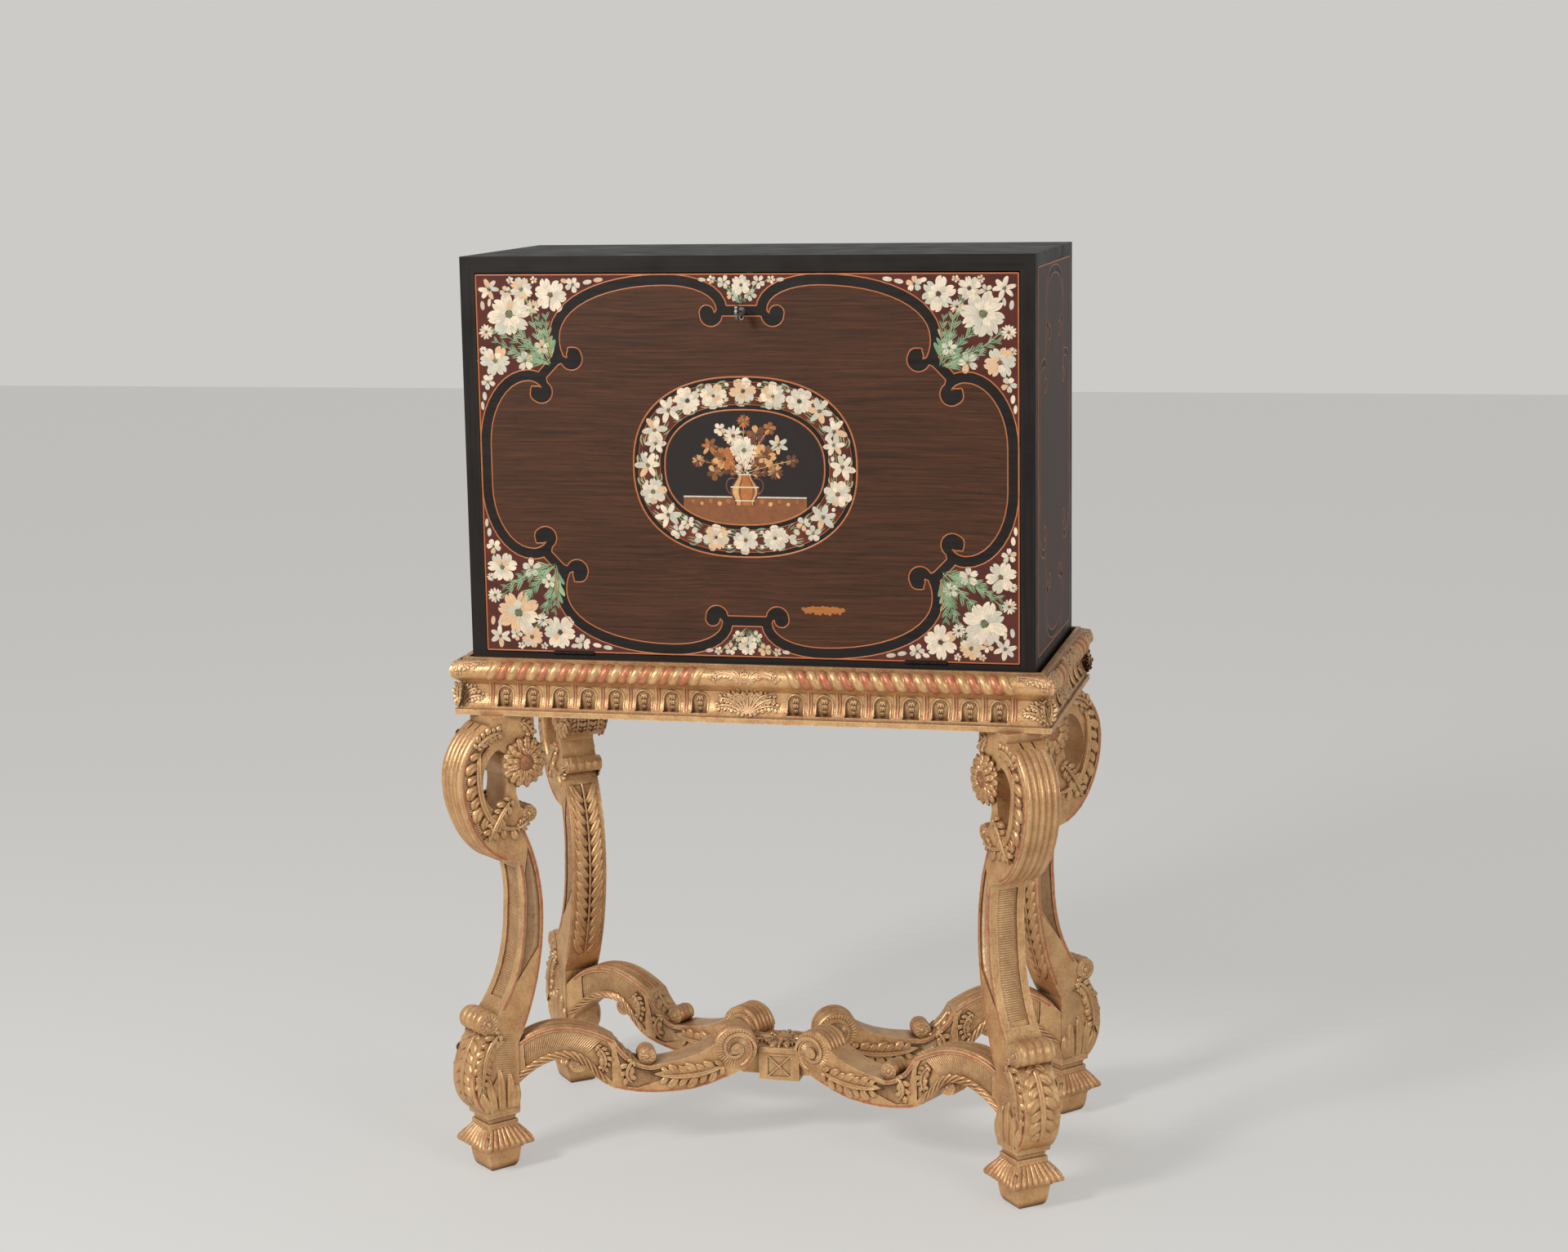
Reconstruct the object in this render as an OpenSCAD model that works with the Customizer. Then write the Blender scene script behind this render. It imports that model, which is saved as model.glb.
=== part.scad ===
// Fall front cabinet in ebony, rosewood and marquetry on a carved giltwood stand.
// The origin is on the floor at the middle of the plan. X is to the right, Y to the back, Z up.

/* [Cabinet] */
// Width over the sides
cab_w = 960; // [700:5:1300]
// Depth from the front edge to the back
cab_d = 425; // [320:5:600]
// Height of the case
cab_h = 687; // [450:1:900]
// Thickness of the side boards
side_t = 25; // [16:1:40]
// Thickness of the top board
top_t = 27; // [16:1:40]
// Thickness of the bottom board
bottom_t = 25; // [18:1:40]
// Thickness of the back panel
back_t = 14; // [8:1:24]

/* [Fall front] */
// Thickness of the flap with its veneer
flap_t = 22; // [18:1:30]
// Gap beside the flap
flap_gap = 1; // [0.6:0.1:3]
// Gap over the flap
flap_top_gap = 2; // [1.5:0.1:4]
// Gap under the flap
flap_low_gap = 1.2; // [0.8:0.1:3]
// Thickness of the sawn veneers and inlays
veneer_t = 1.2; // [0.6:0.1:2.5]

/* [Inlay] */
// Width of the ebony straps
strap_w = 18; // [10:1:26]
// Radius of the discs that end the straps
curl_r = 19; // [13:1:26]
// How far the straps stay inside the panel's edge at the top and sides
strap_edge = 1; // [0.5:0.5:8]
// Half width of the middle oval
oval_a = 188; // [120:4:240]
// Half height of the middle oval
oval_b = 148; // [90:4:200]
// Width of the flower ring round the oval
ring_w = 53; // [30:1:70]

/* [Interior] */
// How far the drawers stand behind the closed flap
nest_setback = 50; // [36:1:90]
// Width of the middle bay between the uprights
bay_w = 330; // [220:5:420]
// Thickness of the uprights
upright_t = 12; // [8:1:20]
// Thickness of the dust boards between the drawers
shelf_t = 8; // [5:1:14]
// Room between the sides and the nest, where the stays swing
stay_room = 18.5; // [16:0.5:30]
// Height of the middle drawer
mid_drawer_h = 150; // [90:5:220]
// Clearance round each drawer
drawer_clear = 0.8; // [0.4:0.1:2]
// Thickness of the drawer fronts
drawer_front_t = 12; // [8:1:20]
// Thickness of the drawer sides and backs
drawer_side_t = 6; // [4:1:10]
// Thickness of the drawer bottoms
drawer_floor_t = 4; // [3:1:8]
// Room behind each drawer
drawer_back_gap = 12; // [4:1:40]
// Largest radius of the drawer knobs
knob_r = 8; // [5:0.5:12]
// How far a knob stands out
knob_l = 16; // [10:1:22]

/* [Stays] */
// Radius of the quadrant stays
stay_r = 235; // [180:5:320]
// Width of the stays
stay_w = 10; // [7:0.5:14]
// Thickness of the stays
stay_t = 4; // [3:0.5:6]
// Thickness of the guides that the stays run through
guide_t = 5; // [3:0.5:8]

/* [Hinges and lock] */
// Length of each hinge
hinge_l = 70; // [40:2:110]
// Distance of each hinge from the middle
hinge_x = 300; // [150:5:400]
// Radius of the hinge knuckles
knuckle_r = 3.2; // [2.4:0.1:4.5]
// Radius of the hinge pins
pin_r = 1.5; // [1:0.1:2]
// Radial clearance of pins and key in what turns on them
pin_clear = 0.05; // [0.02:0.01:0.1]
// Thickness of the hinge leaves
leaf_t = 2; // [1.2:0.1:3]
// How far the keyhole is below the flap's top edge
key_drop = 61; // [45:1:80]
// Radius of the key's shank
key_r = 3; // [2:0.1:4]
// Length of the key's bit from the axis
bit_reach = 11; // [9:0.5:12]
// Width of the lock case
lock_w = 76; // [60:2:110]
// Depth of the lock case in the flap
lock_t = 13; // [10:0.5:16]
// Width of the bolt
bolt_w = 12; // [8:1:20]
// Thickness of the bolt
bolt_t = 5; // [3:0.5:7]
// Turn of the key that shoots the bolt
key_turn = 50; // [40:2:60]
// How far the drawn bolt's nose stands out of the flap
bolt_nose = 1.2; // [0.4:0.1:1.4]

/* [Stand frame] */
// Height of the stand to the top of its moulding
stand_h = 895; // [650:5:1000]
// How deep the cabinet sits in the frame
sunk = 15; // [6:1:20]
// Height of the frame
frame_h = 96.5; // [80:0.5:130]
// Gap between the cabinet's sides and the moulding
side_gap = 8; // [1:0.5:14]
// Gap at the cabinet's front and back
front_gap = 1.5; // [1:0.5:8]
// Width of the ledge under the cabinet
ledge_w = 40; // [28:1:70]
// How far the gadrooned moulding stands out
mould_out = 26; // [20:1:40]
// Radius of the gadrooned moulding
mould_r = 17; // [12:0.5:20]
// Pitch of the niches along the hollow
niche_pitch = 48.5; // [36:0.5:70]
// Width of a niche
niche_w = 28; // [16:1:34]
// Height of a niche
niche_h = 33; // [20:1:36]
// Niches on each side of the middle, front and back
niches_long = 8; // [4:1:8]
// Niches on each side of the middle, left and right
niches_short = 3; // [1:1:3]
// Half length of the carved leaf in the middle of each rail
mid_leaf = 60; // [30:1:90]
// Length of the glue blocks along the rails
block_leg = 70; // [40:2:100]
// Room over and under the glue blocks
block_gap = 10; // [2:1:20]

/* [Legs] */
// Thickness of the legs
leg_t = 66; // [48:1:84]
// Angle of the legs in plan from the long sides
leg_turn = 50; // [35:1:60]
// How far the leg centres stand inside the cabinet's sides
foot_in = 18; // [0:1:40]
// How far the leg centres stand in front of the cabinet's front
foot_out = 22; // [0:1:40]
// How far the upper scroll reaches out of the leg's centre
scroll_out = 62; // [45:1:80]
// Depth of the scroll's widest place below the frame
scroll_drop = 108; // [90:1:130]
// Depth of the scroll's end below the frame
cusp_drop = 257; // [225:1:300]
// Depth of the slimmest place of the shaft below the frame
waist_drop = 350; // [320:1:400]
// How far the shaft's back stands inside the leg's centre
waist_in = 91; // [75:1:100]
// Thickness of the shaft at its slimmest
waist_t = 41; // [30:1:50]
// Radius of the drum behind the sunflowers
drum_r = 40; // [32:1:46]
// How far the drum's axis stands inside the leg's centre
drum_in = 61; // [50:1:70]
// Depth of the drum's axis below the frame
drum_drop = 84; // [72:1:96]
// Height of the knee roll
knee_z = 266; // [240:1:300]
// Radius of the knee roll
knee_r = 20; // [14:1:26]
// How far the lower bulge reaches out
bulge_out = 61; // [45:1:75]
// Width of the flat border round the hatched fields
border_w = 7; // [4:0.5:10]
// Depth of the hatched fields
field_deep = 3; // [1.5:0.5:5]
// Radius of the dowels
dowel_r = 11; // [7:0.5:14]
// Length of the dowels
dowel_l = 30; // [20:1:45]

/* [Sunflowers] */
// Outer radius of the sunflowers
flower_r = 46; // [34:1:56]
// Number of petals
petals = 14; // [10:1:20]
// Thickness of the petals
petal_t = 6; // [3:0.5:9]
// Radius of the seed disc
seed_r = 15; // [10:0.5:20]
// Height of the seed disc over the petals
seed_t = 4; // [2:0.5:8]

/* [Feet] */
// Height of the feet
foot_h = 104; // [90:1:130]
// Half width of the square fillet over the neck
foot_half = 32; // [26:0.5:42]
// Half width of the neck
neck_half = 26; // [20:0.5:32]
// Half width of the gadrooned collar
collar_half = 49; // [40:0.5:60]
// Half width of the foot's flat sole
sole_half = 22; // [16:0.5:28]
// Flutes on each side of the collar
collar_flutes = 7; // [5:2:9]

/* [Stretcher] */
// Thickness of the arms
arm_t = 54; // [40:1:66]
// Place of the arm scrolls from the middle, side to side
curl_x = 79; // [66:1:120]
// Place of the arm scrolls from the middle, front to back
curl_y = 55.5; // [45:0.5:80]
// Height of the arm scrolls' centres
curl_z = 184; // [165:1:200]
// Radius of the arm scrolls
arm_curl_r = 37; // [28:1:44]
// Height of the arch's crown
crown_z = 244; // [230:1:270]
// Half width of the middle block
block_x = 36; // [26:1:60]
// Half depth of the middle block
block_y = 46; // [30:1:70]
// Underside of the middle block
block_z = 119; // [100:1:140]
// Height of the middle block's sides
block_h = 51; // [36:1:70]
// How far the block's wings reach out under the scrolls
block_wing = 34; // [20:1:50]
// Thickness of the carved plate over the block
plate_t = 9; // [5:1:14]

/* [Hidden] */
$fn = 48;

GILT = "#c39a5b";
GILT_DARK = "#a87f43";
EBONY = "#1d1a19";
ROSEWOOD = "#4e3327";
CARCASE = "#7a5a3c";
IRON = "#4b4a4a";
BRASS = "#b08d4c";

// Levels and planes shared by the pieces
cab_z = stand_h - sunk;
cab_top = cab_z + cab_h;
front_y = -cab_d / 2;
in_x = cab_w / 2 - side_t;
in_low = cab_z + bottom_t;
in_top = cab_top - top_t;
back_y = cab_d / 2 - back_t;
frame_z = stand_h - frame_h;
lip_x = cab_w / 2 + side_gap;
lip_y = cab_d / 2 + front_gap;
foot_x = cab_w / 2 - foot_in;
foot_y = cab_d / 2 + foot_out;

// Curves: a cubic from four points, a line set off sideways and a closed band between two offsets
function bez(a, b, c, d, n = 9) =
    [for (i = [0:n]) let (t = i / n, s = 1 - t) s*s*s*a + 3*s*s*t*b + 3*s*t*t*c + t*t*t*d];
function rev(v) = [for (i = [len(v) - 1:-1:0]) v[i]];
function side_of(v, i) =
    let (d = v[min(i + 1, len(v) - 1)] - v[max(i - 1, 0)]) [-d.y, d.x] / norm(d);
function shifted(v, d) = [for (i = [0:len(v) - 1]) v[i] + d * side_of(v, i)];
function band(v, d0, d1) = concat(shifted(v, d0), rev(shifted(v, d1)));
function cut_tail(v, a, b) = [for (i = [a:len(v) - 1 - b]) v[i]];
// A spiral about c from radius r0 to r1, angles in degrees
function spiral(c, r0, r1, a0, a1, n = 36) =
    [for (i = [0:n]) let (t = i / n, r = r0 * pow(r1 / r0, t), a = a0 + (a1 - a0) * t)
        c + r * [cos(a), sin(a)]];

// An outline drawn in length and height, stood up and given a thickness about its middle plane
module plate(points, t) {
    rotate([90, 0, 0]) linear_extrude(t, center = true) polygon(points);
}
// The same outline cut into or laid on both faces, between half thicknesses w0 and w1
module on_faces(points, w0, w1) {
    for (k = [-1, 1])
        translate([0, k * (w0 + w1) / 2, 0]) plate(points, w1 - w0);
}
// A roll of radius r and length l across a leg or arm, its axis at c in length and height
module roller(c, r, l) {
    translate([c.x, 0, c.y]) rotate([90, 0, 0]) cylinder(r = r, h = l, center = true);
}
// Pieces are drawn for the front left corner and mirrored to the others
module corner(kx, ky) {
    mirror([kx > 0 ? 1 : 0, 0, 0]) mirror([0, ky > 0 ? 1 : 0, 0]) children();
}
module at_leg() {
    translate([-foot_x, -foot_y, 0]) rotate([0, 0, 180 + leg_turn]) children();
}

// Stand frame: outline of a rail, outwards from the lip and up
neck_z = stand_h - 46;
foot_fillet = 9;
rail_outline = concat(
    [[-ledge_w, frame_z], [-ledge_w, cab_z], [0, cab_z], [0, stand_h], [mould_out - mould_r - 2, stand_h]],
    [[mould_out - mould_r - 2, stand_h - 4]],
    [for (a = [90:-10:-60]) [mould_out - mould_r, stand_h - 22] + mould_r * [cos(a), sin(a)]],
    bez([6, neck_z], [3, neck_z - 18], [8, neck_z - 30], [16, frame_z + foot_fillet + 4]),
    [[16, frame_z + foot_fillet], [21, frame_z + foot_fillet], [21, frame_z]]
);
// A rail of half length l to the lip, whose lip stands w from the middle, along X at the front
module rail(l, w, niches) {
    reach = mould_out + 1;
    difference() {
        intersection() {
            translate([0, -w, 0]) rotate([90, 0, 90])
                linear_extrude(2 * (l + reach), center = true)
                    polygon([for (p = rail_outline) [-p.x, p.y]]);
            translate([0, 0, frame_z - 1]) linear_extrude(frame_h + 2)
                polygon([[-l - reach, -w - reach], [l + reach, -w - reach],
                         [l - ledge_w, -w + ledge_w], [-l + ledge_w, -w + ledge_w]]);
        }
        for (k = [-1, 1], i = [0:niches - 1])
            translate([k * (mid_leaf + niche_pitch * (i + 0.45)), -w - 3, 0]) niche();
    }
}
// A round-headed hollow in the rail's cove
module niche() {
    z0 = frame_z + foot_fillet + 5;
    rotate([90, 0, 0]) linear_extrude(mould_out) {
        translate([-niche_w / 2, z0]) square([niche_w, niche_h - niche_w / 2]);
        translate([0, z0 + niche_h - niche_w / 2]) circle(r = niche_w / 2);
    }
}
module rail_long() {
    color(GILT) difference() {
        rail(lip_x, lip_y, niches_long);
        for (k = [-1, 1]) mirror([k > 0 ? 1 : 0, 0, 0]) at_leg() leg_dowel();
    }
}
module rail_short() {
    color(GILT) rotate([0, 0, -90]) rail(lip_y, lip_x, niches_short);
}
module rail_front() { rail_long(); }
module rail_back() { mirror([0, 1, 0]) rail_long(); }
module rail_left() { rail_short(); }
module rail_right() { mirror([1, 0, 0]) rail_short(); }
// Glue blocks in the frame's inner corners
module corner_blocks() {
    color(GILT_DARK) for (kx = [-1, 1], ky = [-1, 1]) corner(kx, ky)
        translate([-lip_x + ledge_w, -lip_y + ledge_w, frame_z + block_gap])
            linear_extrude(cab_z - frame_z - 2 * block_gap) polygon([[0, 0], [block_leg, 0], [0, block_leg]]);
}

// Legs: curves of the outline in reach and height, the outer side going down
scroll_z = frame_z - scroll_drop;
cusp_z = frame_z - cusp_drop;
waist_z = frame_z - waist_drop;
joint_in = foot_half;
drum_c = [-drum_in, frame_z - drum_drop];
bulge_z = foot_h + 61;
scroll_curve = concat(
    bez([8, frame_z - 14], [34, frame_z - 30], [scroll_out, scroll_z + 45], [scroll_out, scroll_z]),
    cut_tail(bez([scroll_out, scroll_z], [scroll_out, scroll_z - 65], [22, cusp_z + 7], [-38, cusp_z]), 1, 0)
);
waist_out = waist_t - waist_in;
shaft_curve = concat(
    bez([-43, cusp_z], [waist_out - 4, cusp_z - 40], [waist_out - 2, waist_z + 20], [waist_out, waist_z]),
    cut_tail(bez([waist_out, waist_z], [waist_out + 2, waist_z - 90], [-20, knee_z + 44],
                 [8, knee_z + 12]), 1, 0)
);
bulge_curve = concat(
    bez([26, knee_z - 14], [48, knee_z - 38], [bulge_out, bulge_z + 30], [bulge_out, bulge_z]),
    cut_tail(bez([bulge_out, bulge_z], [bulge_out, bulge_z - 27], [50, foot_h + 14],
                 [foot_half, foot_h]), 1, 0)
);
back_curve = concat(
    bez([-joint_in, knee_z - 44], [-58, knee_z - 4], [-waist_in, waist_z - 99], [-waist_in, waist_z]),
    cut_tail(bez([-waist_in, waist_z], [-waist_in, waist_z + 71], [-72, cusp_z + 31],
                 [-50, cusp_z + 71]), 1, 0)
);
leg_outline = concat(
    [[2, frame_z], [2, frame_z - 13]], scroll_curve, shaft_curve, bulge_curve,
    [[-joint_in, foot_h]], back_curve,
    [[-62, cusp_z + 75], [-62, cusp_z + 88], [-52, cusp_z + 95], [-44, cusp_z + 122]],
    [[-50, drum_c.y], [-78, drum_c.y + 30], [-84, drum_c.y + 46]],
    [[-84, frame_z]]
);
// The pierced eye between the scroll and the drum
eye_outline = concat(
    bez([-14, scroll_z + 52], [12, scroll_z + 46], [22, scroll_z + 8], [20, scroll_z - 16]),
    cut_tail(bez([20, scroll_z - 16], [16, scroll_z - 40], [2, scroll_z - 54], [-10, scroll_z - 54]), 1, 0),
    cut_tail(bez([-10, scroll_z - 54], [-22, scroll_z - 44], [-28, scroll_z - 24],
                 [-27, scroll_z - 2]), 1, 0),
    [[-27, scroll_z + 40]]
);
// Hatched fields, sunk between flat borders
scroll_field = band(cut_tail(scroll_curve, 2, 4), -border_w, -4.3 * border_w);
shaft_field = concat(
    shifted(cut_tail(shaft_curve, 2, 4), -border_w),
    rev(shifted(rev(cut_tail(back_curve, 7, 3)), border_w))
);
dowel_u = -45;
module leg_dowel() {
    translate([dowel_u, 0, frame_z - 0.01]) cylinder(r = dowel_r, h = dowel_l + 0.01);
}
tenon_w = 20;
tenon_l = joint_in - dowel_r - 4;
tenon_z = [foot_h + 22, foot_h + 92];
module arm_tenon() {
    translate([-joint_in - 0.01, -tenon_w / 2, tenon_z[0]])
        cube([tenon_l + 0.01, tenon_w, tenon_z[1] - tenon_z[0]]);
}
// One carved leaf: a rib along a curve with lobes that swell and close along it
function leaf_edge(v, w, lobes) =
    [for (i = [0:len(v) - 1]) let (t = i / (len(v) - 1), lobe = 0.72 + 0.28 * abs(sin(180 * lobes * t)))
        v[i] + w * sin(180 * min(1, t * 1.02 + 0.02)) * lobe * side_of(v, i)];
function leaf(v, w, lobes) = concat(leaf_edge(v, w, lobes), rev(leaf_edge(v, -w, lobes)));
knee_leaf = bez([52, bulge_z - 22], [46, bulge_z + 30], [34, bulge_z + 66], [-8, bulge_z + 68], 20);
low_leaf = bez([28, foot_h + 4], [26, foot_h + 30], [14, foot_h + 58], [2, foot_h + 76], 16);
eye_leaf = bez([-28, scroll_z - 44], [-10, scroll_z - 66], [10, scroll_z - 88], [14, scroll_z - 104], 16);
module leg() {
    half = leg_t / 2;
    color(GILT) difference() {
        union() {
            difference() {
                plate(leg_outline, leg_t);
                plate(eye_outline, leg_t + 2);
                on_faces(scroll_field, half - field_deep, half + 1);
                on_faces(shaft_field, half - field_deep, half + 1);
                plate(band(cut_tail(shaft_curve, 1, 2), 1, -field_deep), leg_t - 4 * border_w);
                plate(band(cut_tail(back_curve, 5, 2), 1, -field_deep), leg_t - 4 * border_w);
                on_faces(band(cut_tail(scroll_curve, 0, 1), 1, -field_deep), leg_t / 6 - 2, leg_t / 6 + 2);
            }
            roller([drum_c.x, drum_c.y], drum_r, leg_t + 6);
            roller([-70, cusp_z + 81], 14, leg_t);
            roller([24, knee_z], knee_r, leg_t + 2);
            on_faces(leaf(knee_leaf, 13, 4), half - 4, half + 4);
            on_faces(leaf(low_leaf, 9, 3), half - 4, half + 3);
            on_faces(leaf(eye_leaf, 10, 3), half - 4, half + 4);
            leg_dowel();
        }
        translate([0, 0, foot_h - 0.01]) cylinder(r = dowel_r, h = dowel_l + 0.01);
        arm_tenon();
    }
}
module leg_front_left() { corner(-1, -1) at_leg() leg(); }
module leg_front_right() { corner(1, -1) at_leg() leg(); }
module leg_back_left() { corner(-1, 1) at_leg() leg(); }
module leg_back_right() { corner(1, 1) at_leg() leg(); }

// Sunflowers on both ends of each drum
module sunflower() {
    petal_r = PI * flower_r / petals * 0.86;
    // a low disc between the petals' rounded ends and the seed disc
    cylinder(r = flower_r - petal_r, h = petal_t * 0.55);
    for (i = [0:petals - 1]) rotate([0, 0, 360 * i / petals])
        translate([flower_r - petal_r, 0, 0]) cylinder(r = petal_r, h = petal_t);
    cylinder(r = seed_r, h = petal_t + seed_t);
}
module sunflowers() {
    color(GILT_DARK) for (kx = [-1, 1], ky = [-1, 1]) corner(kx, ky) at_leg()
        for (k = [0, 1]) mirror([0, k, 0])
            translate([drum_c.x, -leg_t / 2 - 3, drum_c.y]) rotate([90, 0, 0]) sunflower();
}

// Feet: one moulded outline run round a square
sole_h = 37;
foot_outline = concat(
    [[sole_half, 0]],
    bez([sole_half, 0], [sole_half + 7, 4], [neck_half + 4, sole_h - 18], [neck_half + 6, sole_h], 8),
    [[neck_half + 9, sole_h], [neck_half + 9, sole_h + 6]],
    bez([collar_half - 3, sole_h + 7], [collar_half + 1, sole_h + 8], [collar_half + 1, sole_h + 13],
        [collar_half - 2, sole_h + 18], 6),
    bez([collar_half - 3, sole_h + 19], [neck_half + 14, foot_h - 38], [neck_half + 6, foot_h - 34],
        [neck_half + 3, foot_h - 25], 8),
    [[neck_half + 3, foot_h - 18]],
    bez([neck_half, foot_h - 17], [neck_half - 1, foot_h - 11], [neck_half + 1, foot_h - 8],
        [foot_half - 1, foot_h - 7], 6),
    [[foot_half, foot_h - 7], [foot_half, foot_h]]
);
module foot_block() {
    both = concat(foot_outline, rev([for (p = foot_outline) [-p.x, p.y]]));
    intersection() {
        plate(both, 3 * collar_half);
        rotate([0, 0, 90]) plate(both, 3 * collar_half);
    }
}
// Sloping flutes between the lobes of the collar
module collar_cuts() {
    step = 2 * collar_half / collar_flutes;
    for (s = [0:3], i = [1:collar_flutes - 1]) rotate([0, 0, 90 * s])
        translate([collar_half - 1, (i - collar_flutes / 2) * step, sole_h + 4]) rotate([0, -24, 0])
            translate([3, 0, 0]) cylinder(r = 3.4, h = foot_h - sole_h - 30);
}
module foot() {
    color(GILT) union() {
        difference() {
            foot_block();
            collar_cuts();
        }
        translate([0, 0, foot_h - 1]) cylinder(r = dowel_r, h = dowel_l + 1);
    }
}
module foot_front_left() { corner(-1, -1) at_leg() foot(); }
module foot_front_right() { corner(1, -1) at_leg() foot(); }
module foot_back_left() { corner(-1, 1) at_leg() foot(); }
// This foot has lost the part of its collar that stood out towards the right
module foot_back_right() {
    corner(1, 1) at_leg() color(GILT) difference() {
        foot();
        translate([-collar_half - 10, neck_half + 4, sole_h - 6])
            cube([2 * collar_half + 20, collar_half, foot_h - sole_h - 24]);
    }
}

// Stretcher arms: length from the leg's back and height, run towards the middle scroll
joint_p = [-foot_x + joint_in * cos(leg_turn), -foot_y + joint_in * sin(leg_turn)];
arm_v = [-curl_x, -curl_y] - joint_p;
arm_l = norm(arm_v);
arm_dir = atan2(arm_v.y, arm_v.x);
peak_s = 183;
arch_curve = bez([-24, crown_z - 60], [30, crown_z + 8], [105, crown_z + 20], [peak_s, crown_z - 32], 20);
dip_curve = bez([peak_s, crown_z - 32], [peak_s + 11, crown_z - 54], [peak_s + 32, crown_z - 78],
                [peak_s + 62, crown_z - 81], 12);
soffit_curve = concat(
    bez([-24, foot_h + 2], [22, foot_h + 61], [60, crown_z - 54], [98, crown_z - 57]),
    cut_tail(bez([98, crown_z - 57], [130, crown_z - 58], [135, crown_z - 94],
                 [peak_s - 4, crown_z - 116]), 1, 0)
);
arm_c = [arm_l, curl_z];
tail_curve = concat(
    bez([peak_s - 4, crown_z - 116], [peak_s + 52, crown_z - 134], [arm_l - 84, curl_z - 76],
        [arm_l - 34, curl_z - 56]),
    cut_tail(bez([arm_l - 34, curl_z - 56], [arm_l - 2, curl_z - 46], [arm_l + arm_curl_r, curl_z - 34],
                 [arm_l + arm_curl_r, curl_z]), 1, 0)
);
arm_outline = concat(
    arch_curve, cut_tail(dip_curve, 1, 0),
    bez([peak_s + 66, crown_z - 79], [peak_s + 97, crown_z - 76], [arm_l - 66, curl_z - 12],
        [arm_l - 30, curl_z + 16], 8),
    [arm_c], rev(tail_curve), cut_tail(rev(soffit_curve), 1, 0)
);
arch_field = concat(
    shifted(cut_tail(arch_curve, 5, 1), -border_w),
    [[peak_s - border_w, crown_z - 46], [peak_s - border_w, crown_z - 104]],
    rev(shifted(cut_tail(soffit_curve, 4, 6), 2 * border_w))
);
curl_line = spiral(arm_c, arm_curl_r, 9, 0, 500, 44);
tail_field = concat(
    shifted(cut_tail(dip_curve, 2, 0), -border_w),
    [[peak_s + 100, crown_z - 84], [arm_l - 58, curl_z - 26]],
    rev(shifted(cut_tail(tail_curve, 1, 16), border_w))
);
tail_leaf = bez([arm_l - 30, curl_z - 30], [arm_l - 70, curl_z - 40], [arm_l - 110, curl_z - 36],
                [arm_l - 150, curl_z - 34], 24);
roll_r = 15;
module arm() {
    half = arm_t / 2;
    color(GILT) difference() {
        union() {
            difference() {
                plate(arm_outline, arm_t);
                on_faces(arch_field, half - field_deep, half + 1);
                on_faces(tail_field, half - field_deep, half + 1);
                on_faces(band(cut_tail(arch_curve, 6, 1), 1, -field_deep), arm_t / 6 - 2, arm_t / 6 + 2);
            }
            roller(arm_c, arm_curl_r, arm_t);
            on_faces(band(curl_line, 0, 5), half - 1, half + 3);
            roller(arm_c, 9, arm_t + 8);
            on_faces(leaf(tail_leaf, 13, 5), half - 4, half + 4);
            roller([peak_s + 56, crown_z - 66], roll_r, arm_t * 0.7);
            roller([118, crown_z - 70], roll_r, arm_t * 0.8);
        }
        rotate([0, 0, leg_turn - arm_dir]) translate([-4 * joint_in, -leg_t, 0])
            cube([4 * joint_in, 2 * leg_t, frame_z]);
    }
}
module arm_front_left() {
    translate([joint_p.x, joint_p.y, 0]) rotate([0, 0, arm_dir]) arm();
    color(GILT) at_leg() arm_tenon();
}
module arm_front_right() { mirror([1, 0, 0]) arm_front_left(); }
module arm_back_left() { mirror([0, 1, 0]) arm_front_left(); }
module arm_back_right() { mirror([1, 0, 0]) mirror([0, 1, 0]) arm_front_left(); }

// Middle block: a panelled body under a carved plate, hollowed where the four scrolls seat in it
module stretcher_block() {
    reach = block_x + block_wing;
    color(GILT) difference() {
        union() {
            translate([-block_x, -block_y, block_z]) cube([2 * block_x, 2 * block_y, block_h]);
            translate([-reach, -block_x, block_z + 8]) cube([2 * reach, 2 * block_x, block_h - 8]);
            translate([0, 0, block_z + block_h]) linear_extrude(plate_t)
                polygon([for (k = [[-1, -1], [1, -1], [1, 1], [-1, 1]], j = [0, 1])
                    let (s = (k.x * k.y > 0) ? j : 1 - j)
                    s == 1 ? [k.x * block_x, k.y * (block_y + 4)] : [k.x * reach, k.y * (block_x * 0.7)]]);
        }
        for (k = [-1, 1]) {
            // sunk square panels with a raised cross on the front and back faces
            translate([0, k * block_y, block_z + block_h / 2]) rotate([90, 0, 0]) difference() {
                cube([block_x * 1.15, block_x * 1.05, 5], center = true);
                for (a = [-43, 43]) rotate([0, 0, a]) cube([100, 2.4, 6], center = true);
            }
        }
        for (kx = [-1, 1], ky = [-1, 1]) corner(kx, ky)
            translate([joint_p.x, joint_p.y, 0]) rotate([0, 0, arm_dir]) {
                plate(arm_outline, arm_t);
                roller(arm_c, arm_curl_r, arm_t + 14);
            }
    }
}

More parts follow.
